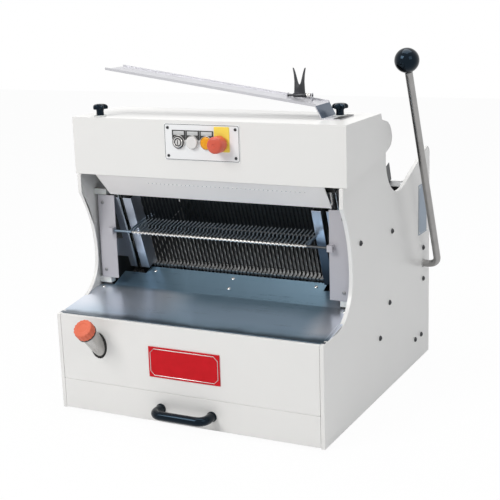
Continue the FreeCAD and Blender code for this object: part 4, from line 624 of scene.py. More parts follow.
class Growth(Wiring):
    """A Geometry Nodes tree with named inputs; each growth of it becomes a plain mesh."""

    def __init__(self, name, **inputs):
        super().__init__(bpy.data.node_groups.new(name, "GeometryNodeTree"))
        self.sockets = {}
        self.add_socket("Geometry", "Geometry", "INPUT")
        for label, kind in inputs.items():
            self.sockets[label] = self.add_socket(label, kind, "INPUT").identifier
        self.add_socket("Geometry", "Geometry", "OUTPUT")
        self.given = self.tree.nodes.new("NodeGroupInput")

    def add_socket(self, label, kind, way):
        """A new input or output of the whole tree."""
        return self.tree.interface.new_socket(label, in_out=way, socket_type="NodeSocket" + kind)

    def value(self, label):
        """The tree's own input of that name."""
        return Wire(self, self.given.outputs[label])

    def spread(self, places, item, **turn):
        """Ends the tree: the item on every place, made real and in its finish."""
        copies = self.node("GeometryNodeInstanceOnPoints",
                           {"Points": places, "Instance": item, **turn})
        real = self.node("GeometryNodeRealizeInstances", {"Geometry": copies})
        coated = self.node("GeometryNodeSetMaterial",
                           {"Geometry": real, "Material": self.value("Finish")})
        out = self.tree.nodes.new("NodeGroupOutput")
        self.feed(out.inputs["Geometry"], coated)
        return self

    def row(self):
        """The places of a straight row: so many, from a start, one step apart."""
        return self.node("GeometryNodeMeshLine",
                         {"Count": self.value("Count"), "Start Location": self.value("Start"),
                          "Offset": self.value("Step")}, mode="OFFSET")

    def grow(self, name, seed, **values):
        """The plain mesh that the tree makes from a seed mesh and the values of its inputs."""
        carrier = link(name + "_seed", seed)
        modifier = carrier.modifiers.new("growth", "NODES")
        modifier.node_group = self.tree
        for label, value in values.items():
            modifier[self.sockets[label]] = value
        shape = carrier.evaluated_get(bpy.context.evaluated_depsgraph_get())
        mesh = bpy.data.meshes.new_from_object(shape)
        mesh.name = name
        bpy.data.objects.remove(carrier)
        return mesh


def line(name, points):
    """A seed for wire: a chain of edges."""
    mesh = bpy.data.meshes.new(name)
    mesh.from_pydata([tuple(point) for point in points],
                     [(index, index + 1) for index in range(len(points) - 1)], [])
    return mesh


def spots(name, places):
    """A seed for scattering: points that each carry the way they face."""
    mesh = bpy.data.meshes.new(name)
    mesh.from_pydata([tuple(place) for place, way in places], [], [])
    facing = mesh.attributes.new("facing", "FLOAT_VECTOR", "POINT")
    for index, (place, way) in enumerate(places):
        facing.data[index].vector = way
    return mesh


def scattered(name, item, finish, places):
    """One mesh with the item set on every (place, facing)."""
    pattern = link(name + "_item", item)
    mesh = SCATTER.grow(name, spots(name, places), Item=pattern, Finish=finish)
    bpy.data.objects.remove(pattern)
    return mesh


def row_growth():
    """Repeats the seed in a straight row."""
    growth = Growth("row", Count="Int", Start="Vector", Step="Vector", Finish="Material")
    return growth.spread(growth.row(), growth.value("Geometry"))


def ring_growth():
    """Repeats the seed round the Z axis."""
    growth = Growth("ring", Count="Int", Finish="Material")
    hub = growth.node("GeometryNodeMeshLine",
                      {"Count": growth.value("Count"), "Offset": (0, 0, 0)}, mode="OFFSET")
    share = growth.maths("DIVIDE", growth.node("GeometryNodeInputIndex"), growth.value("Count"))
    spin = growth.node("ShaderNodeCombineXYZ", {"Z": share * (2 * math.pi)})
    return growth.spread(hub, growth.value("Geometry"), Rotation=spin)


def wire_growth():
    """Bends the seed's line into round wire, then repeats it in a row."""
    growth = Growth("wires", Radius="Float", Bend="Float", Count="Int", Start="Vector",
                    Step="Vector", Finish="Material")
    chain = growth.node("GeometryNodeMeshToCurve", {"Mesh": growth.value("Geometry")})
    bent = growth.node("GeometryNodeFilletCurve",
                       {"Curve": chain, "Radius": growth.value("Bend"), "Count": 4}, mode="POLY")
    section = growth.node("GeometryNodeCurvePrimitiveCircle",
                          {"Resolution": 8, "Radius": growth.value("Radius")})
    wire = growth.node("GeometryNodeCurveToMesh",
                       {"Curve": bent, "Profile Curve": section, "Fill Caps": True})
    return growth.spread(growth.row(), wire)


def scatter_growth():
    """Sets one item on every point of the seed, along the point's own facing."""
    growth = Growth("scatter", Item="Object", Finish="Material")
    facing = growth.node("GeometryNodeInputNamedAttribute", {"Name": "facing"},
                         data_type="FLOAT_VECTOR")
    turn = growth.node("FunctionNodeAlignRotationToVector", {"Vector": facing}, axis="Z")
    item = growth.node("GeometryNodeObjectInfo", {"Object": growth.value("Item")},
                       output="Geometry")
    return growth.spread(growth.value("Geometry"), item, Rotation=turn)


ROW = row_growth()
RING = ring_growth()
WIRES = wire_growth()
SCATTER = scatter_growth()


# ---- floor and light

def set_room():
    """A soft bluish room that is plain white where the camera or a glossy face sees it."""
    world = bpy.data.worlds.new("soft room")
    bpy.context.scene.world = world
    world.use_nodes = True
    room = Wiring(world.node_tree)
    sky = room.tree.nodes["Background"]
    sky.inputs["Color"].default_value = (0.86, 0.90, 0.96, 1)
    sky.inputs["Strength"].default_value = 0.30
    white = room.node("ShaderNodeBackground", {"Color": (1, 1, 1), "Strength": 1.0})
    either = room.node("ShaderNodeMixShader",
                       {0: room.seen_directly(), 1: Wire(room, sky.outputs[0]), 2: white})
    room.feed(room.tree.nodes["World Output"].inputs["Surface"], either)


def set_floor():
    """A pale floor that keeps the machine's shadow."""
    bright = Finish("pale floor", Roughness=0.6)
    shade = bright.mix(bright.noise(0.3).between(0, 1), (0.86, 0.86, 0.86), (0.88, 0.88, 0.88))
    bright.feed(bright.shader.inputs["Base Color"], shade)
    glow = bright.node("ShaderNodeEmission", {"Color": (1, 1, 1), "Strength": 1.0})
    surface = bright.node("ShaderNodeMixShader", {0: bright.seen_directly() * 0.96,
                                                  1: Wire(bright, bright.shader.outputs[0]),
                                                  2: glow})
    bright.feed(bright.tree.nodes["Material Output"].inputs["Surface"], surface)
    half = 6
    corners = [(-half, -half, 0), (half, -half, 0), (half, half, 0), (-half, half, 0)]
    mesh = bpy.data.meshes.new("floor")
    mesh.from_pydata(corners, [], [(0, 1, 2, 3)])
    floor = link("floor", in_finish(mesh, bright.material))


def set_lamp(name, place, target, width, height, power, colour):
    """A soft rectangular lamp that looks at the target."""
    data = bpy.data.lights.new(name, "AREA")
    data.shape = "RECTANGLE"
    data.size = width
    data.size_y = height
    data.energy = power
    data.color = colour
    lamp = bpy.data.objects.new(name, data)
    bpy.context.scene.collection.objects.link(lamp)
    lamp.location = place
    lamp.rotation_euler = (Vector(target) - Vector(place)).to_track_quat("-Z", "Y").to_euler()


bpy.context.scene.view_settings.view_transform = "Standard"
set_room()
set_floor()
set_lamp("front softbox", (-1.3, -2.6, 2.5), (0, -0.2, 0.3), 1.6, 1.4, 63.5, (1.0, 0.985, 0.96))
set_lamp("top softbox", (0.1, 0.3, 3.0), (0, 0, 0.4), 2.2, 2.2, 48, (1.0, 0.99, 0.97))
set_lamp("right fill", (2.6, -1.6, 2.0), (0.2, 0, 0.3), 1.4, 1.4, 14, (1.0, 0.985, 0.96))


# ---- casing

TRAY_FOLD = -0.1615
INNER_SHADE_START = -0.115


def eased_fold(piece):
    """Turns the tray's middle fold into a wide bend."""
    reach, near, whole_width = 0.030, 0.0008, 0.5
    shape = bmesh.new()
    shape.from_mesh(piece.data)
    fold = [edge for edge in shape.edges
            if all(abs(corner.co.y - TRAY_FOLD) < near for corner in edge.verts)
            and abs(edge.verts[0].co.x - edge.verts[1].co.x) > whole_width]
    bmesh.ops.bevel(shape, geom=fold, offset=reach, segments=8, affect="EDGES", profile=0.5)
    shape.to_mesh(piece.data)
    shape.free()
    smooth(piece.data)


def paint_inner_shade(piece):
    """Paints a side panel's inner face near-black behind the posts: painted shade inside the
    machine.
    """
    inner_face, near = 0.318, 0.001
    shape = bmesh.new()
    shape.from_mesh(piece.data)
    bmesh.ops.bisect_plane(shape, geom=shape.verts[:] + shape.edges[:] + shape.faces[:],
                           plane_co=BACKWARDS * INNER_SHADE_START, plane_no=BACKWARDS)
    for face in shape.faces:
        place = face.calc_center_median()
        inside = abs(face.normal.x) > 0.95 and abs(abs(place.x) - inner_face) < near
        if inside and place.y > INNER_SHADE_START:
            # Painted shade: these inner faces take the near-black coat.
            face.material_index = 1
    shape.to_mesh(piece.data)
    shape.free()
    piece.data.materials.append(INNER_SHADE_COAT)
    smooth(piece.data)


def tray_ledges():
    """A thin ledge on each side panel that carries the tray's edge."""
    inner, outer, thick = 0.3112, 0.3178, 0.0015
    profile = [(-0.3265, 0.2252), (-0.3135, 0.2252), (TRAY_FOLD, 0.2466)]
    section = [(inner, 0), (outer, 0), (outer, -thick), (inner, -thick)]
    for name, side in (("left", -1), ("right", 1)):
        rings = [[(side * x, y, z + drop) for x, drop in section] for y, z in profile]
        strip = skin("ledge_" + name, rings)
        beside("side_panel_" + name, "tray_ledge_" + name, in_finish(strip, TRAY_STEEL))


def seam_lip():
    """The front panel's lower edge is folded in, which half closes the seam over the drawer."""
    half, low, high = 0.3095, 0.0744, 0.0765
    lip = block("lip", WHITE_COAT, (-half, FRONT_FACE + 0.4 * MM, low),
                (half, FRONT_FACE + 2 * MM, high), 0.3 * MM)
    beside("front_panel", "seam_lip", lip)


# Pieces that keep their solid's form: the node, its finish and its edges' radius in
# millimetres. The soft edges are bevelled in three steps and the crisp ones in two.
SOFT_EDGED = (
    ("front_panel", WHITE_COAT, 1.8), ("head_cover", WHITE_COAT, 2.4),
    ("crumb_drawer", WHITE_COAT, 0.9), ("guard_posts", POST_COAT, 0.8),
    ("post_blocks", WHITE_NYLON, 1.2), ("pusher_plate", DARK_SHEET, 1.2))
CRISP_EDGED = (
    ("rear_panel", WHITE_COAT, 0.7), ("apron", APRON_COAT, 0.9), ("base_pan", ZINC, 0.7),
    ("guide_covers", COVER_STEEL, 0.8), ("infeed_table", DARK_SHEET, 0.8),
    ("pusher_carriage", ZINC, 0.8), ("cross_members", ZINC, 1.6),
    ("slide_blocks_front", BLACK_SATIN, 1.0), ("slide_blocks_rear", BLACK_SATIN, 1.0),
    ("guide_blocks", DARK_STEEL, 1.0), ("guide_rods", GROUND_STEEL, 0.8),
    ("oil_tank", ZINC, 1.0), ("contact_blocks", BLACK_SATIN, 0.8),
    ("blade_frame_front", DARK_STEEL, 0.5), ("blade_frame_rear", DARK_STEEL, 0.5),
    ("comb_bar", ZINC, 0.4), ("motor", MOTOR_COAT, 1.6), ("crankshaft", GROUND_STEEL, 0.6),
    ("lever_shaft", GROUND_STEEL, 0.8), ("crank_pulley", IRON, 0.6), ("motor_pulley", IRON, 0.6),
    ("drive_belt", RUBBER, 0.8), ("shaft_bearings", IRON, 1.5), ("swing_arms", ZINC, 1.0),
    ("nameplate", PLATE_RED, 0.5), ("data_plate", PLATE_BLUE, 0.3))

for node_name, coating, edge_radius in SOFT_EDGED:
    rounded(node_name, coating, edge_radius * MM)
for node_name, coating, edge_radius in CRISP_EDGED:
    rounded(node_name, coating, edge_radius * MM, 2)
for panel_name in ("side_panel_left", "side_panel_right"):
    paint_inner_shade(rounded(panel_name, WHITE_COAT, 2.2 * MM))
eased_fold(rounded("delivery_tray", TRAY_STEEL, 0.9 * MM))
tray_ledges()
seam_lip()

APRON_TOP = Vector((0, -0.2170, 0.5170))
DOWN_APRON = rising(-48)
OFF_APRON = rising(-48 - 90)


def apron_rivets():
    """A row of small bright rivets along the apron."""
    first, step, count, down = -0.148, 0.0104, 37, 0.020
    places = [(APRON_TOP + SIDEWAYS * (first + step * index) + DOWN_APRON * down, OFF_APRON)
              for index in range(count)]
    head = spun("rivet", BRIGHT_STEEL, [(1.5, -0.3), (1.5, 0.2), (1.0, 0.7), (0, 0.9)], 12)
    beside("apron", "apron_rivets", scattered("apron_rivets", head, BRIGHT_STEEL, places))


apron_rivets()


# ---- blades

def feed_matrix():
    """Takes (x, along the table, up the blades) to the machine's frame."""
    turn = Matrix((SIDEWAYS, DOWN_FEED, UP_BLADES)).transposed()
    return Matrix.Translation(FEED_START) @ turn.to_4x4()


IN_FEED = feed_matrix()


def blade_band(name, phase):
    """One band blade at X 0 in the feed's frame: both edges scalloped and ground thin."""
    low, high = -0.040, 0.242
    half_width, half_thick = 5.5 * MM, 0.35 * MM
    front_depth, rear_depth = 2.6 * MM, 3.0 * MM
    front_ground, rear_ground = 1.7 * MM, 2.0 * MM
    scallops, steps = 12, 10
    rings = []
    for row in range(scallops * steps + 1):
        level = low + (high - low) * row / (scallops * steps)
        valley = 1 - abs(math.sin(math.pi * (row / steps + phase)))
        rear = half_width - rear_depth * valley
        front = -half_width + front_depth * valley
        section = [(0.2, front), (1.0, front + front_ground), (1.0, rear - rear_ground),
                   (0.2, rear)]
        near = [(thick * half_thick, across, level) for thick, across in section]
        far = [(-thick * half_thick, across, level) for thick, across in reversed(section)]
        rings.append(near + far)
    return skin(name, rings)


def blades():
    """Every other blade hangs in the front frame, the rest in the rear one."""
    leftmost = -(BLADE_COUNT - 1) / 2 * BLADE_PITCH
    for name, first, phase in (("blades_front", 0, 0.0), ("blades_rear", 1, 0.5)):
        band = ROW.grow(name, blade_band(name + "_band", phase), Count=BLADE_COUNT // 2,
                        Start=(leftmost + first * BLADE_PITCH, 0.0, 0.0),
                        Step=(2 * BLADE_PITCH, 0.0, 0.0), Finish=BAND_STEEL)
        band.transform(IN_FEED)
        replace(name, band)


blades()


# ---- hold-down

IN_HOLD = Matrix.Translation(HOLD_START) @ Matrix.Rotation(math.radians(HOLD_RISE), 4, "X")


def crosswise(name, finish, profile, side):
    """A lathed part whose axis runs to the right, or to the left for side -1."""
    mesh = spun(name, finish, profile, 20)
    mesh.transform(Matrix.Rotation(math.radians(90 * side), 4, "Y"))
    return mesh


def hold_down():
    """Cranked wire fingers welded under a bar, with a bead over each, and double arms."""
    count = BLADE_COUNT - 1
    start = (-(count - 1) / 2 * BLADE_PITCH, 0.0, 0.0)
    step = (BLADE_PITCH, 0.0, 0.0)
    length, crank_from, crank_to, crank = 0.076, 0.034, 0.030, 0.004
    finger = line("finger", [(0, 0, 0), (0, crank_from, 0), (0, crank_to, crank),
                             (0, length, crank)])
    fingers = WIRES.grow("fingers", finger, Radius=1.25 * MM, Bend=1.2 * MM, Count=count,
                         Start=start, Step=step, Finish=WIRE_STEEL)
    bead = spun("bead", BRIGHT_STEEL, [(0, -3), (2.2, -2.2), (3.1, 0), (2.2, 2.2), (0, 3)], 12)
    bead.transform(Matrix.Translation((0, -1.2 * MM, -0.4 * MM)))
    beads = ROW.grow("beads", bead, Count=count, Start=start, Step=step, Finish=BRIGHT_STEEL)
    bar = [(0, -217), (1.8, -217), (2.2, -216), (2.2, 216), (1.8, 217), (0, 217)]
    trunnion = [(0, 216), (3, 216.4), (3, 273.4), (2.4, 274), (0, 274)]
    parts = [crosswise("bar", WIRE_STEEL, bar, 1)]
    # Painted shade: the right trunnion is in dark steel, where the left is in the arms' blue steel,
    # so that it sinks into the shade at the right of the opening.
    for side, finish in ((-1, COLLAR_BLUE), (1, DARK_STEEL)):
        parts.append(crosswise("trunnion", finish, trunnion, side))
        for across, level in ((0.2155, -0.0012), (0.2205, 0.0012)):
            path = [(side * across, back, level + rise) for back, rise in
                    ((0, 0), (0.005, 0.0005), (0.014, 0.0030), (0.098, 0.0010))]
            parts.append(tube("arm", COLLAR_BLUE, path, 2.3 * MM, 14))
    whole = joined("hold_down", fingers, beads, *parts)
    whole.transform(IN_HOLD)
    replace("hold_down_grid", whole)


hold_down()


# ---- motor, feet and gland

def motor_fins():
    """Cooling fins round the motor's can."""
    middle = (-0.130, 0.2025, 0.112)
    root, tip, half_thick, half_length = 0.0585, 0.0620, 0.9 * MM, 0.072
    fin = block("fin", MOTOR_COAT, (root, -half_thick, -half_length),
                (tip, half_thick, half_length), 0.6 * MM)
    fins = RING.grow("fins", fin, Count=40, Finish=MOTOR_COAT)
    beside("motor", "motor_fins", aim(fins, middle, SIDEWAYS))


def feet():
    """Four rubber feet, wider at the top than on the floor."""
    foot = spun("foot", RUBBER, [(0, 0), (14.5, 0), (16, 1), (17.2, 9), (18, 10.5), (18, 12),
                                 (0, 12)], 40)
    places = [((x, y, 0), UPWARDS) for x in (-0.26, 0.26) for y in (-0.2775, 0.2775)]
    replace("rubber_feet", scattered("feet", foot, RUBBER, places))


def gland():
    """A cord gland with its two hexagon nuts."""
    body = [(5, -14), (11.5, -14), (11.5, 8), (10.8, 12), (10.8, 19), (10, 20), (5, 20), (5, -14)]
    nut = [(11, 0.2), (14.4, 0.2), (15, 1), (15, 7.2), (14.4, 8), (11, 8), (11, 0.2)]
    lock = [(11, -6.2), (15, -6.2), (15, -2.4), (11, -2.4), (11, -6.2)]
    place = (-0.24, REAR_FACE, 0.064)
    parts = [spun("gland", BLACK_SATIN, body, 40), spun("nut", BLACK_SATIN, nut, 6),
             spun("lock", BLACK_SATIN, lock, 6)]
    replace("cable_gland", *[aim(part, place, BACKWARDS) for part in parts])


motor_fins()
feet()
gland()


# ---- feed lever

LEVER_PIVOT = Vector((0, 0.2895, 0.242))
UP_LEVER = rising(24.8 + 90)


def lever():
    """A round bar bent up off the cross shaft's end, with a glossy ball on its end."""
    bend, side = 0.022, 0.358
    shaft_end = LEVER_PIVOT + SIDEWAYS * 0.322
    corner = LEVER_PIVOT + SIDEWAYS * (side - bend) + UP_LEVER * bend
    bar_end = LEVER_PIVOT + SIDEWAYS * side + UP_LEVER * 0.555
    path = [shaft_end] + quarter(corner, -UP_LEVER, SIDEWAYS, bend, 10) + [bar_end]
    replace("lever_rod", tube("lever_bar", LEVER_STEEL, path, 8.5 * MM, 32))
    radius = 27
    ball = [(0, -23), (10.5, -26.5), (11.5, -25)]
    for step in range(4, 30):
        turn = math.radians(-90 + 6 * step)
        ball.append((radius * math.cos(turn), radius * math.sin(turn)))
    knob = spun("ball", BLACK_GLOSS, ball + [(0, radius)], 64)
    centre = LEVER_PIVOT + SIDEWAYS * side + UP_LEVER * 0.560
    replace("lever_knob", aim(knob, centre, UP_LEVER))


lever()


# ---- controls

PANEL_FACE = -0.222
CONTROL_LEVEL = 0.599
KEY_X, START_X, LAMP_X, STOP_X = -0.054, -0.0205, 0.013, 0.0465


def on_panel(mesh, x):
    """Turns a lathed part towards the operator, on the control plate's face."""
    return aim(mesh, (x, PANEL_FACE, CONTROL_LEVEL), FORWARDS)


def outlined(name, finish, path, face, radius):
    """A thin raised line along a closed path in the XZ plane."""
    return tube(name, finish, [(across, face, up) for across, up in path], radius, 6)


def near_plate(name, finish, x, z, depths, radius):
    """A small block near the control plate's face, between two x, two z and two depths."""
    low, high = (PANEL_FACE + depth * MM for depth in depths)
    return block(name, finish, (x[0], low, z[0]), (x[1], high, z[1]), radius * MM)


def control_plate():
    """A white plate with a thin dark line round its rim."""
    rounded("control_plate", PANEL_WHITE, 0.5 * MM)
    rim = framed(-0.0885, 0.0885, 0.5615, 0.6365, 0.004, 5)
    beside("control_plate", "control_outline",
           outlined("outline", DARK_STEEL, rim, PANEL_FACE, 0.5 * MM))


def control_bezels():
    """Bright rings round the key switch, the start button and the lamp."""
    ring = [(13.5, 0), (15, 0), (15, 3.1), (14.6, 3.9), (14, 4), (13.5, 3.4), (13.5, 0)]
    rings = [on_panel(spun("bezel", BRIGHT_STEEL, ring), x) for x in (KEY_X, START_X, LAMP_X)]
    replace("control_bezels", *rings)


def key_switch():
    """A black barrel with a bright ring and face, and the slot for the key."""
    dark = [(0, -13), (10.5, -13), (10.5, 0), (13, 0), (13, 4.6), (12.4, 5.2), (0, 5.2)]
    ring = [(9, 4.8), (11.2, 4.8), (11.2, 6.2), (10.6, 6.8), (9.6, 6.8), (9, 6.2), (9, 4.8)]
    face = [(0, 4), (6.4, 4), (6.4, 6.4), (5.8, 6.9), (0, 6.9)]
    half_wide, half_long = 1.1 * MM, 5 * MM
    slot = near_plate("slot", BLACK_SATIN, (KEY_X - half_wide, KEY_X + half_wide),
                      (CONTROL_LEVEL - half_long, CONTROL_LEVEL + half_long), (-7.0, -6.6), 0.1)
    replace("key_switch", on_panel(spun("barrel", BLACK_SATIN, dark), KEY_X),
            on_panel(spun("key ring", BRIGHT_STEEL, ring), KEY_X),
            on_panel(spun("key face", BRIGHT_STEEL, face), KEY_X), slot)


def buttons():
    """A dished start button, a domed lamp and a mushroom stop button with a marked centre."""
    stem = [(0, -13), (10.5, -13), (10.5, 0)]
    start = stem + [(10.5, 3.4), (13, 3.5), (13, 5.8), (12.3, 6.8), (11, 7), (6, 6.4), (0, 6.2)]
    lamp = stem + [(13, 0.5), (13, 3.6), (11.8, 5.4), (9, 6.4), (5, 6.9), (0, 7)]
    stop = stem + [(10.5, 5), (14, 5), (17.2, 6), (17.8, 8), (18, 26), (17.4, 29.4), (15.6, 31.8),
                   (13, 32.8), (4.2, 33), (3.4, 32.2), (0, 32.2)]
    replace("start_button", on_panel(spun("start", GREY_BUTTON, start), START_X))
    replace("signal_lamp", on_panel(spun("lamp", AMBER, lamp), LAMP_X))
    replace("stop_button", on_panel(spun("stop", SIGNAL_RED, stop, 64), STOP_X))


def legends():
    """Black frames with bare silver inserts, and the yellow plate behind the stop button."""
    meshes = []
    for x in (KEY_X, START_X, LAMP_X):
        meshes += [near_plate("legend", BLACK_SATIN, (x - 0.0163, x + 0.0163),
                              (0.6040, 0.6245), (-1.0, 0), 0.4),
                   near_plate("insert", SILVER, (x - 0.0130, x + 0.0130),
                              (0.6142, 0.6222), (-1.3, -0.5), 0.2)]
    outline = framed(STOP_X - 0.0155, STOP_X + 0.0205, 0.581, 0.634, 0.002, 3)[:-2]
    yellow = cut_out("stop plate", YELLOW, outline, 1 * MM, 0.3 * MM)
    yellow.transform(Matrix.Translation((0, PANEL_FACE - 1 * MM, 0)))
    replace("legend_plates", yellow, *meshes)


control_plate()
control_bezels()
key_switch()
buttons()
legends()


# ---- top of the head

def lobed(turn, radius):
    """Draws the rim of a star knob in between its five lobes."""
    hub, reach, depth = 9.5, 8.5, 7.4
    share = max(radius - hub, 0) / reach
    return radius - share * depth * (0.5 - 0.5 * math.cos(5 * turn)) ** 0.7


def star_knobs():
    """Glossy five-lobed knobs on nylon washers."""
    knob = [(0, 0), (8.5, 0), (8.3, 3), (8.1, 9), (9.2, 14), (13, 14.4), (16, 13.4), (17.6, 14),
            (18, 16.5), (17.6, 19.5), (15.6, 22), (12, 23.8), (9, 24.4), (8, 24), (7, 24.7),
            (0, 25)]
    washer = [(4.5, 0), (13.4, 0), (14, 0.6), (14, 1.9), (13.4, 2.5), (4.5, 2.5), (4.5, 0)]
    washers = []
    for name, place in (("star_knob_left", (-0.268, -0.1955, 0.6475)),
                        ("star_knob_right", (0.264, -0.0975, 0.6495))):
        stud = spun("stud", GROUND_STEEL, [(0, -20.5), (4, -20.5), (4, 0), (0, 0)], 24)
        head = spun("star", BLACK_GLOSS, knob, 100, lobed)
        replace(name, aim(head, place, UPWARDS), aim(stud, place, UPWARDS))
        under = Vector(place) - UPWARDS * 2.5 * MM
        washers.append(aim(spun("washer", WHITE_NYLON, washer), under, UPWARDS))
    replace("knob_washers", *washers)


RACK_TIP = (-0.279, 0.7447)
RACK_CREST = (0.231, 0.673)
RACK_FRONT, RACK_REAR = -0.1495, -0.0735
FORK_PIN_BACK, FORK_PIN_LEVEL = -0.0945, 0.6884


def rack_lips():
    """Thin lips turned up along both edges of the rack's long arm."""
    low, high, thick = -0.5 * MM, 3.6 * MM, 1.3 * MM
    lips = []
    for front, back in ((RACK_FRONT, RACK_FRONT + thick), (RACK_REAR - thick, RACK_REAR)):
        rings = [[(across, front, level + low), (across, back, level + low),
                  (across, back, level + high), (across, front, level + high)]
                 for across, level in (RACK_TIP, RACK_CREST)]
        lips.append(in_finish(skin("lip", rings), RACK_STEEL))
    beside("bag_rack", "rack_lips", *lips)


def fork():
    """A plate with two hooked prongs and a knuckle, turning on the rack's pin."""
    right_edge = [(13, 0), (12, 16), (11.5, 30), (12.6, 44), (15, 58), (12.2, 57), (8.8, 48),
                  (5.6, 36), (3.4, 28), (1.4, 23.6)]
    left_edge = [(-across, up) for across, up in reversed(right_edge)]
    outline = [(across * MM, up * MM) for across, up in right_edge + [(0, 22.8)] + left_edge]
    plate = cut_out("fork", DARK_STEEL, outline, 2 * MM, 0.4 * MM)
    plate.transform(Matrix.Translation((0.172, FORK_PIN_BACK - 2 * MM, FORK_PIN_LEVEL)))
    tube_wall = [(2.6, 0), (4.2, 0), (4.5, 0.5), (4.5, 29.5), (4.2, 30), (2.6, 30), (2.6, 0)]
    knuckle = aim(spun("knuckle", DARK_STEEL, tube_wall, 28),
                  (0.157, FORK_PIN_BACK, FORK_PIN_LEVEL), SIDEWAYS)
    replace("bag_fork", plate, knuckle)


def fork_hinge():
    """The fork's pin in two folded ears, with a coil spring to the fork's right."""
    back, level = FORK_PIN_BACK, FORK_PIN_LEVEL
    rod = [(0, 0), (2.1, 0), (2.5, 0.4), (2.5, 59.6), (2.1, 60), (0, 60)]
    parts = [aim(spun("pin", DARK_STEEL, rod, 24), (0.142, back, level), SIDEWAYS)]
    for x, foot in ((0.143, 0.6854), (0.199, 0.6774)):
        parts.append(block("ear", RACK_STEEL, (x, back - 5 * MM, foot),
                           (x + 2 * MM, back + 5 * MM, level + 5 * MM), 0.6 * MM))
    coil_start, coil_length, reach, turns, steps = 0.1882, 8.8 * MM, 4.2 * MM, 6, 14
    path = []
    for step in range(turns * steps + 1):
        turn = 2 * math.pi * step / steps
        path.append((coil_start + coil_length * step / (turns * steps),
                     back + reach * math.cos(turn), level + reach * math.sin(turn)))
    parts.append(tube("coil", BRIGHT_STEEL, path, 0.6 * MM, 8))
    replace("fork_hinge", *parts)


def shaded_riser(piece):
    """The rack's short riser in a darker tone as painted shade on its side faces, and a dark strip
    as a painted shadow along its foot's edge.
    """
    riser_left, riser_right, steep = 0.229, 0.246, 0.4
    # Painted shade: the riser's sideways faces take the darker rack steel.
    piece.data.materials.append(RISER_STEEL)
    for face in piece.data.polygons:
        if riser_left < face.center.x < riser_right and abs(face.normal.x) > steep:
            face.material_index = 1
    # Painted shadow: a thin black strip along the edge of the rack's foot.
    foot_edge = block("foot shadow", BLACK_SATIN, (0.2700, RACK_FRONT - 0.2 * MM, 0.6473),
                      (0.2855, RACK_REAR + 0.2 * MM, 0.6480), 0.2 * MM)
    beside("bag_rack", "foot_edge", foot_edge)


star_knobs()
shaded_riser(rounded("bag_rack", RACK_STEEL, 0.6 * MM, 2))
rack_lips()
fork()
fork_hinge()


# ---- front of the body

FILLER_ROOT = Vector((-0.214, FRONT_FACE, 0.162))
UP_FILLER = rising(135)


def on_filler(name, finish, profile, sides=56, radius_at=None):
    """A lathed part on the filler's slanting axis."""
    return aim(spun(name, finish, profile, sides, radius_at), FILLER_ROOT, UP_FILLER)


def ribbed(turn, radius):
    """Draws the cap's wall in between its sixteen ribs."""
    return radius - (0.6 * (1 + math.cos(16 * turn)) if radius > 20 else 0)


def filler():
    """A steel neck through the front, its rubber collar and seal, and a ribbed screw cap."""
    neck = [(16, -42), (18, -42), (18, 55.4), (17.4, 56), (16, 56), (16, -42)]
    seal = [(16, 56), (21.4, 56), (22, 56.6), (22, 58.6), (21.4, 59), (16, 59), (16, 56)]
    cap = [(0, 47), (15.9, 47), (15.9, 59), (21, 59), (22, 60), (22, 76), (21, 78.2), (19, 79),
           (12, 79), (11, 78.2), (0, 78.2)]
    replace("filler_neck", on_filler("neck", NECK_STEEL, neck))
    replace("filler_seal", on_filler("seal", RUBBER, seal))
    replace("filler_cap", on_filler("cap", CAP_ORANGE, cap, 144, ribbed))
    half_wide, half_high, steps = 18.9 * MM, 26.2 * MM, 48
    rim = []
    for step in range(steps + 1):
        turn = 2 * math.pi * step / steps
        rim.append(FILLER_ROOT + SIDEWAYS * half_wide * math.cos(turn)
                   + UPWARDS * half_high * math.sin(turn))
    beside("front_panel", "neck_collar", tube("collar", RUBBER, rim, 1.1 * MM, 8))


def drawer_handle():
    """A glossy black pull: one bent bar on two flanged feet."""
    level, reach, bend, half = 0.037, -0.3555, 0.020, 0.062
    root = FRONT_FACE - 0.5 * MM
    path = [(-half, root, level)]
    path += quarter((bend - half, reach, level), -SIDEWAYS, FORWARDS, bend, 8)
    path += quarter((half - bend, reach, level), FORWARDS, SIDEWAYS, bend, 8)
    path.append((half, root, level))
    grip = tube("grip", BLACK_GLOSS, path, 10 * MM, 28)
    foot = [(0, 0), (11.5, 0), (11.5, 2.6), (10.8, 3.7), (9.6, 4), (0, 4)]
    flanges = [aim(spun("foot", BLACK_GLOSS, foot), (x, FRONT_FACE, level), FORWARDS)
               for x in (-half, half)]
    replace("drawer_handle", grip, *flanges)


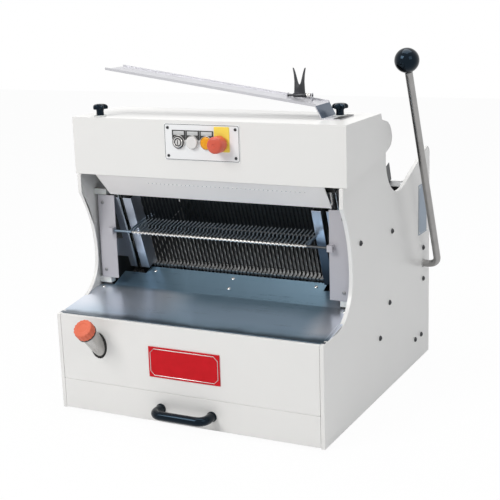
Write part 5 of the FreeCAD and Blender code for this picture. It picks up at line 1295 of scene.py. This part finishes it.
def plates():
    """The red plate's silver line, and the data plate's line and rivets."""
    silver_line = framed(-0.0815, 0.0815, 0.1125, 0.1715, 0.009, 1)
    beside("nameplate", "nameplate_line",
           outlined("silver line", SILVER, silver_line, FRONT_FACE - 2 * MM, 0.8 * MM))
    face = 0.321
    edge = [(face, along, up) for along, up in framed(0.2565, 0.3105, 0.321, 0.437, 0.002, 3)]
    border = tube("border", SILVER, edge, 0.35 * MM, 6)
    rivet = spun("plate rivet", BRIGHT_STEEL, [(1.8, -0.2), (1.8, 0.3), (1.1, 0.8), (0, 1)], 16)
    places = [((face, along, up), SIDEWAYS) for along in (0.2585, 0.3085)
              for up in (0.3235, 0.4345)]
    beside("data_plate", "data_plate_edge", border,
           scattered("plate_rivets", rivet, BRIGHT_STEEL, places))


filler()
drawer_handle()
plates()


# ---- screws and bolts

def outer_ends(node):
    """The outer flat end of each round solid of a node: its centre, direction and radius."""
    side_sheets, wall_corners, least = 0.319, 6, 0.1
    shape = bmesh.new()
    shape.from_mesh(merged_copy(node))
    found = []
    for face in shape.faces:
        centre = face.calc_center_median()
        outwards = SIDEWAYS if centre.x > 0 else -SIDEWAYS
        if abs(centre.x) < side_sheets:
            outwards = Vector((0, -0.6, 0.8))
        if len(face.verts) > wall_corners and face.normal.dot(outwards) > least:
            found.append((centre, face.normal.copy(), math.sqrt(face.calc_area() / math.pi)))
    shape.free()
    return found


def screws():
    """Heads in place of the plain discs: domes on the sides, pan heads, and tiny heads."""
    wide, middling, tall, low = 5 * MM, 3.6 * MM, 4 * MM, 2.2 * MM
    groups = {"domes": [], "pan_heads": [], "post_heads": [], "tiny_heads": []}
    for centre, normal, radius in outer_ends("fasteners"):
        height = tall if radius > wide else low
        if radius > wide:
            group = "domes"
        elif radius > middling:
            group = "pan_heads" if normal.z > 0.5 else "post_heads"
        else:
            group = "tiny_heads"
        groups[group].append((centre - normal * height, normal))
    pan = [(0, 0), (4, 0), (4, 1), (3.4, 1.8), (2.4, 2.2), (1.7, 2.2), (1.7, 0.9), (0, 0.9)]
    tiny = [(0, 0), (3.2, 0), (3.2, 1), (2.6, 1.9), (1.4, 2.2), (1.2, 1.4), (0, 1.4)]
    dome = [(0, 0), (6, 0), (6, 1.2), (5.2, 2.8), (3.6, 3.8), (2.4, 4), (2.4, 2), (0, 2)]
    heads = (("pan_heads", BRIGHT_STEEL, pan, 24), ("post_heads", ZINC, pan, 24),
             ("tiny_heads", DARK_STEEL, tiny, 20), ("domes", DARK_STEEL, dome, 28))
    replace("fasteners", *[scattered(group, spun(group, finish, profile, sides), finish,
                                     groups[group]) for group, finish, profile, sides in heads])


screws()
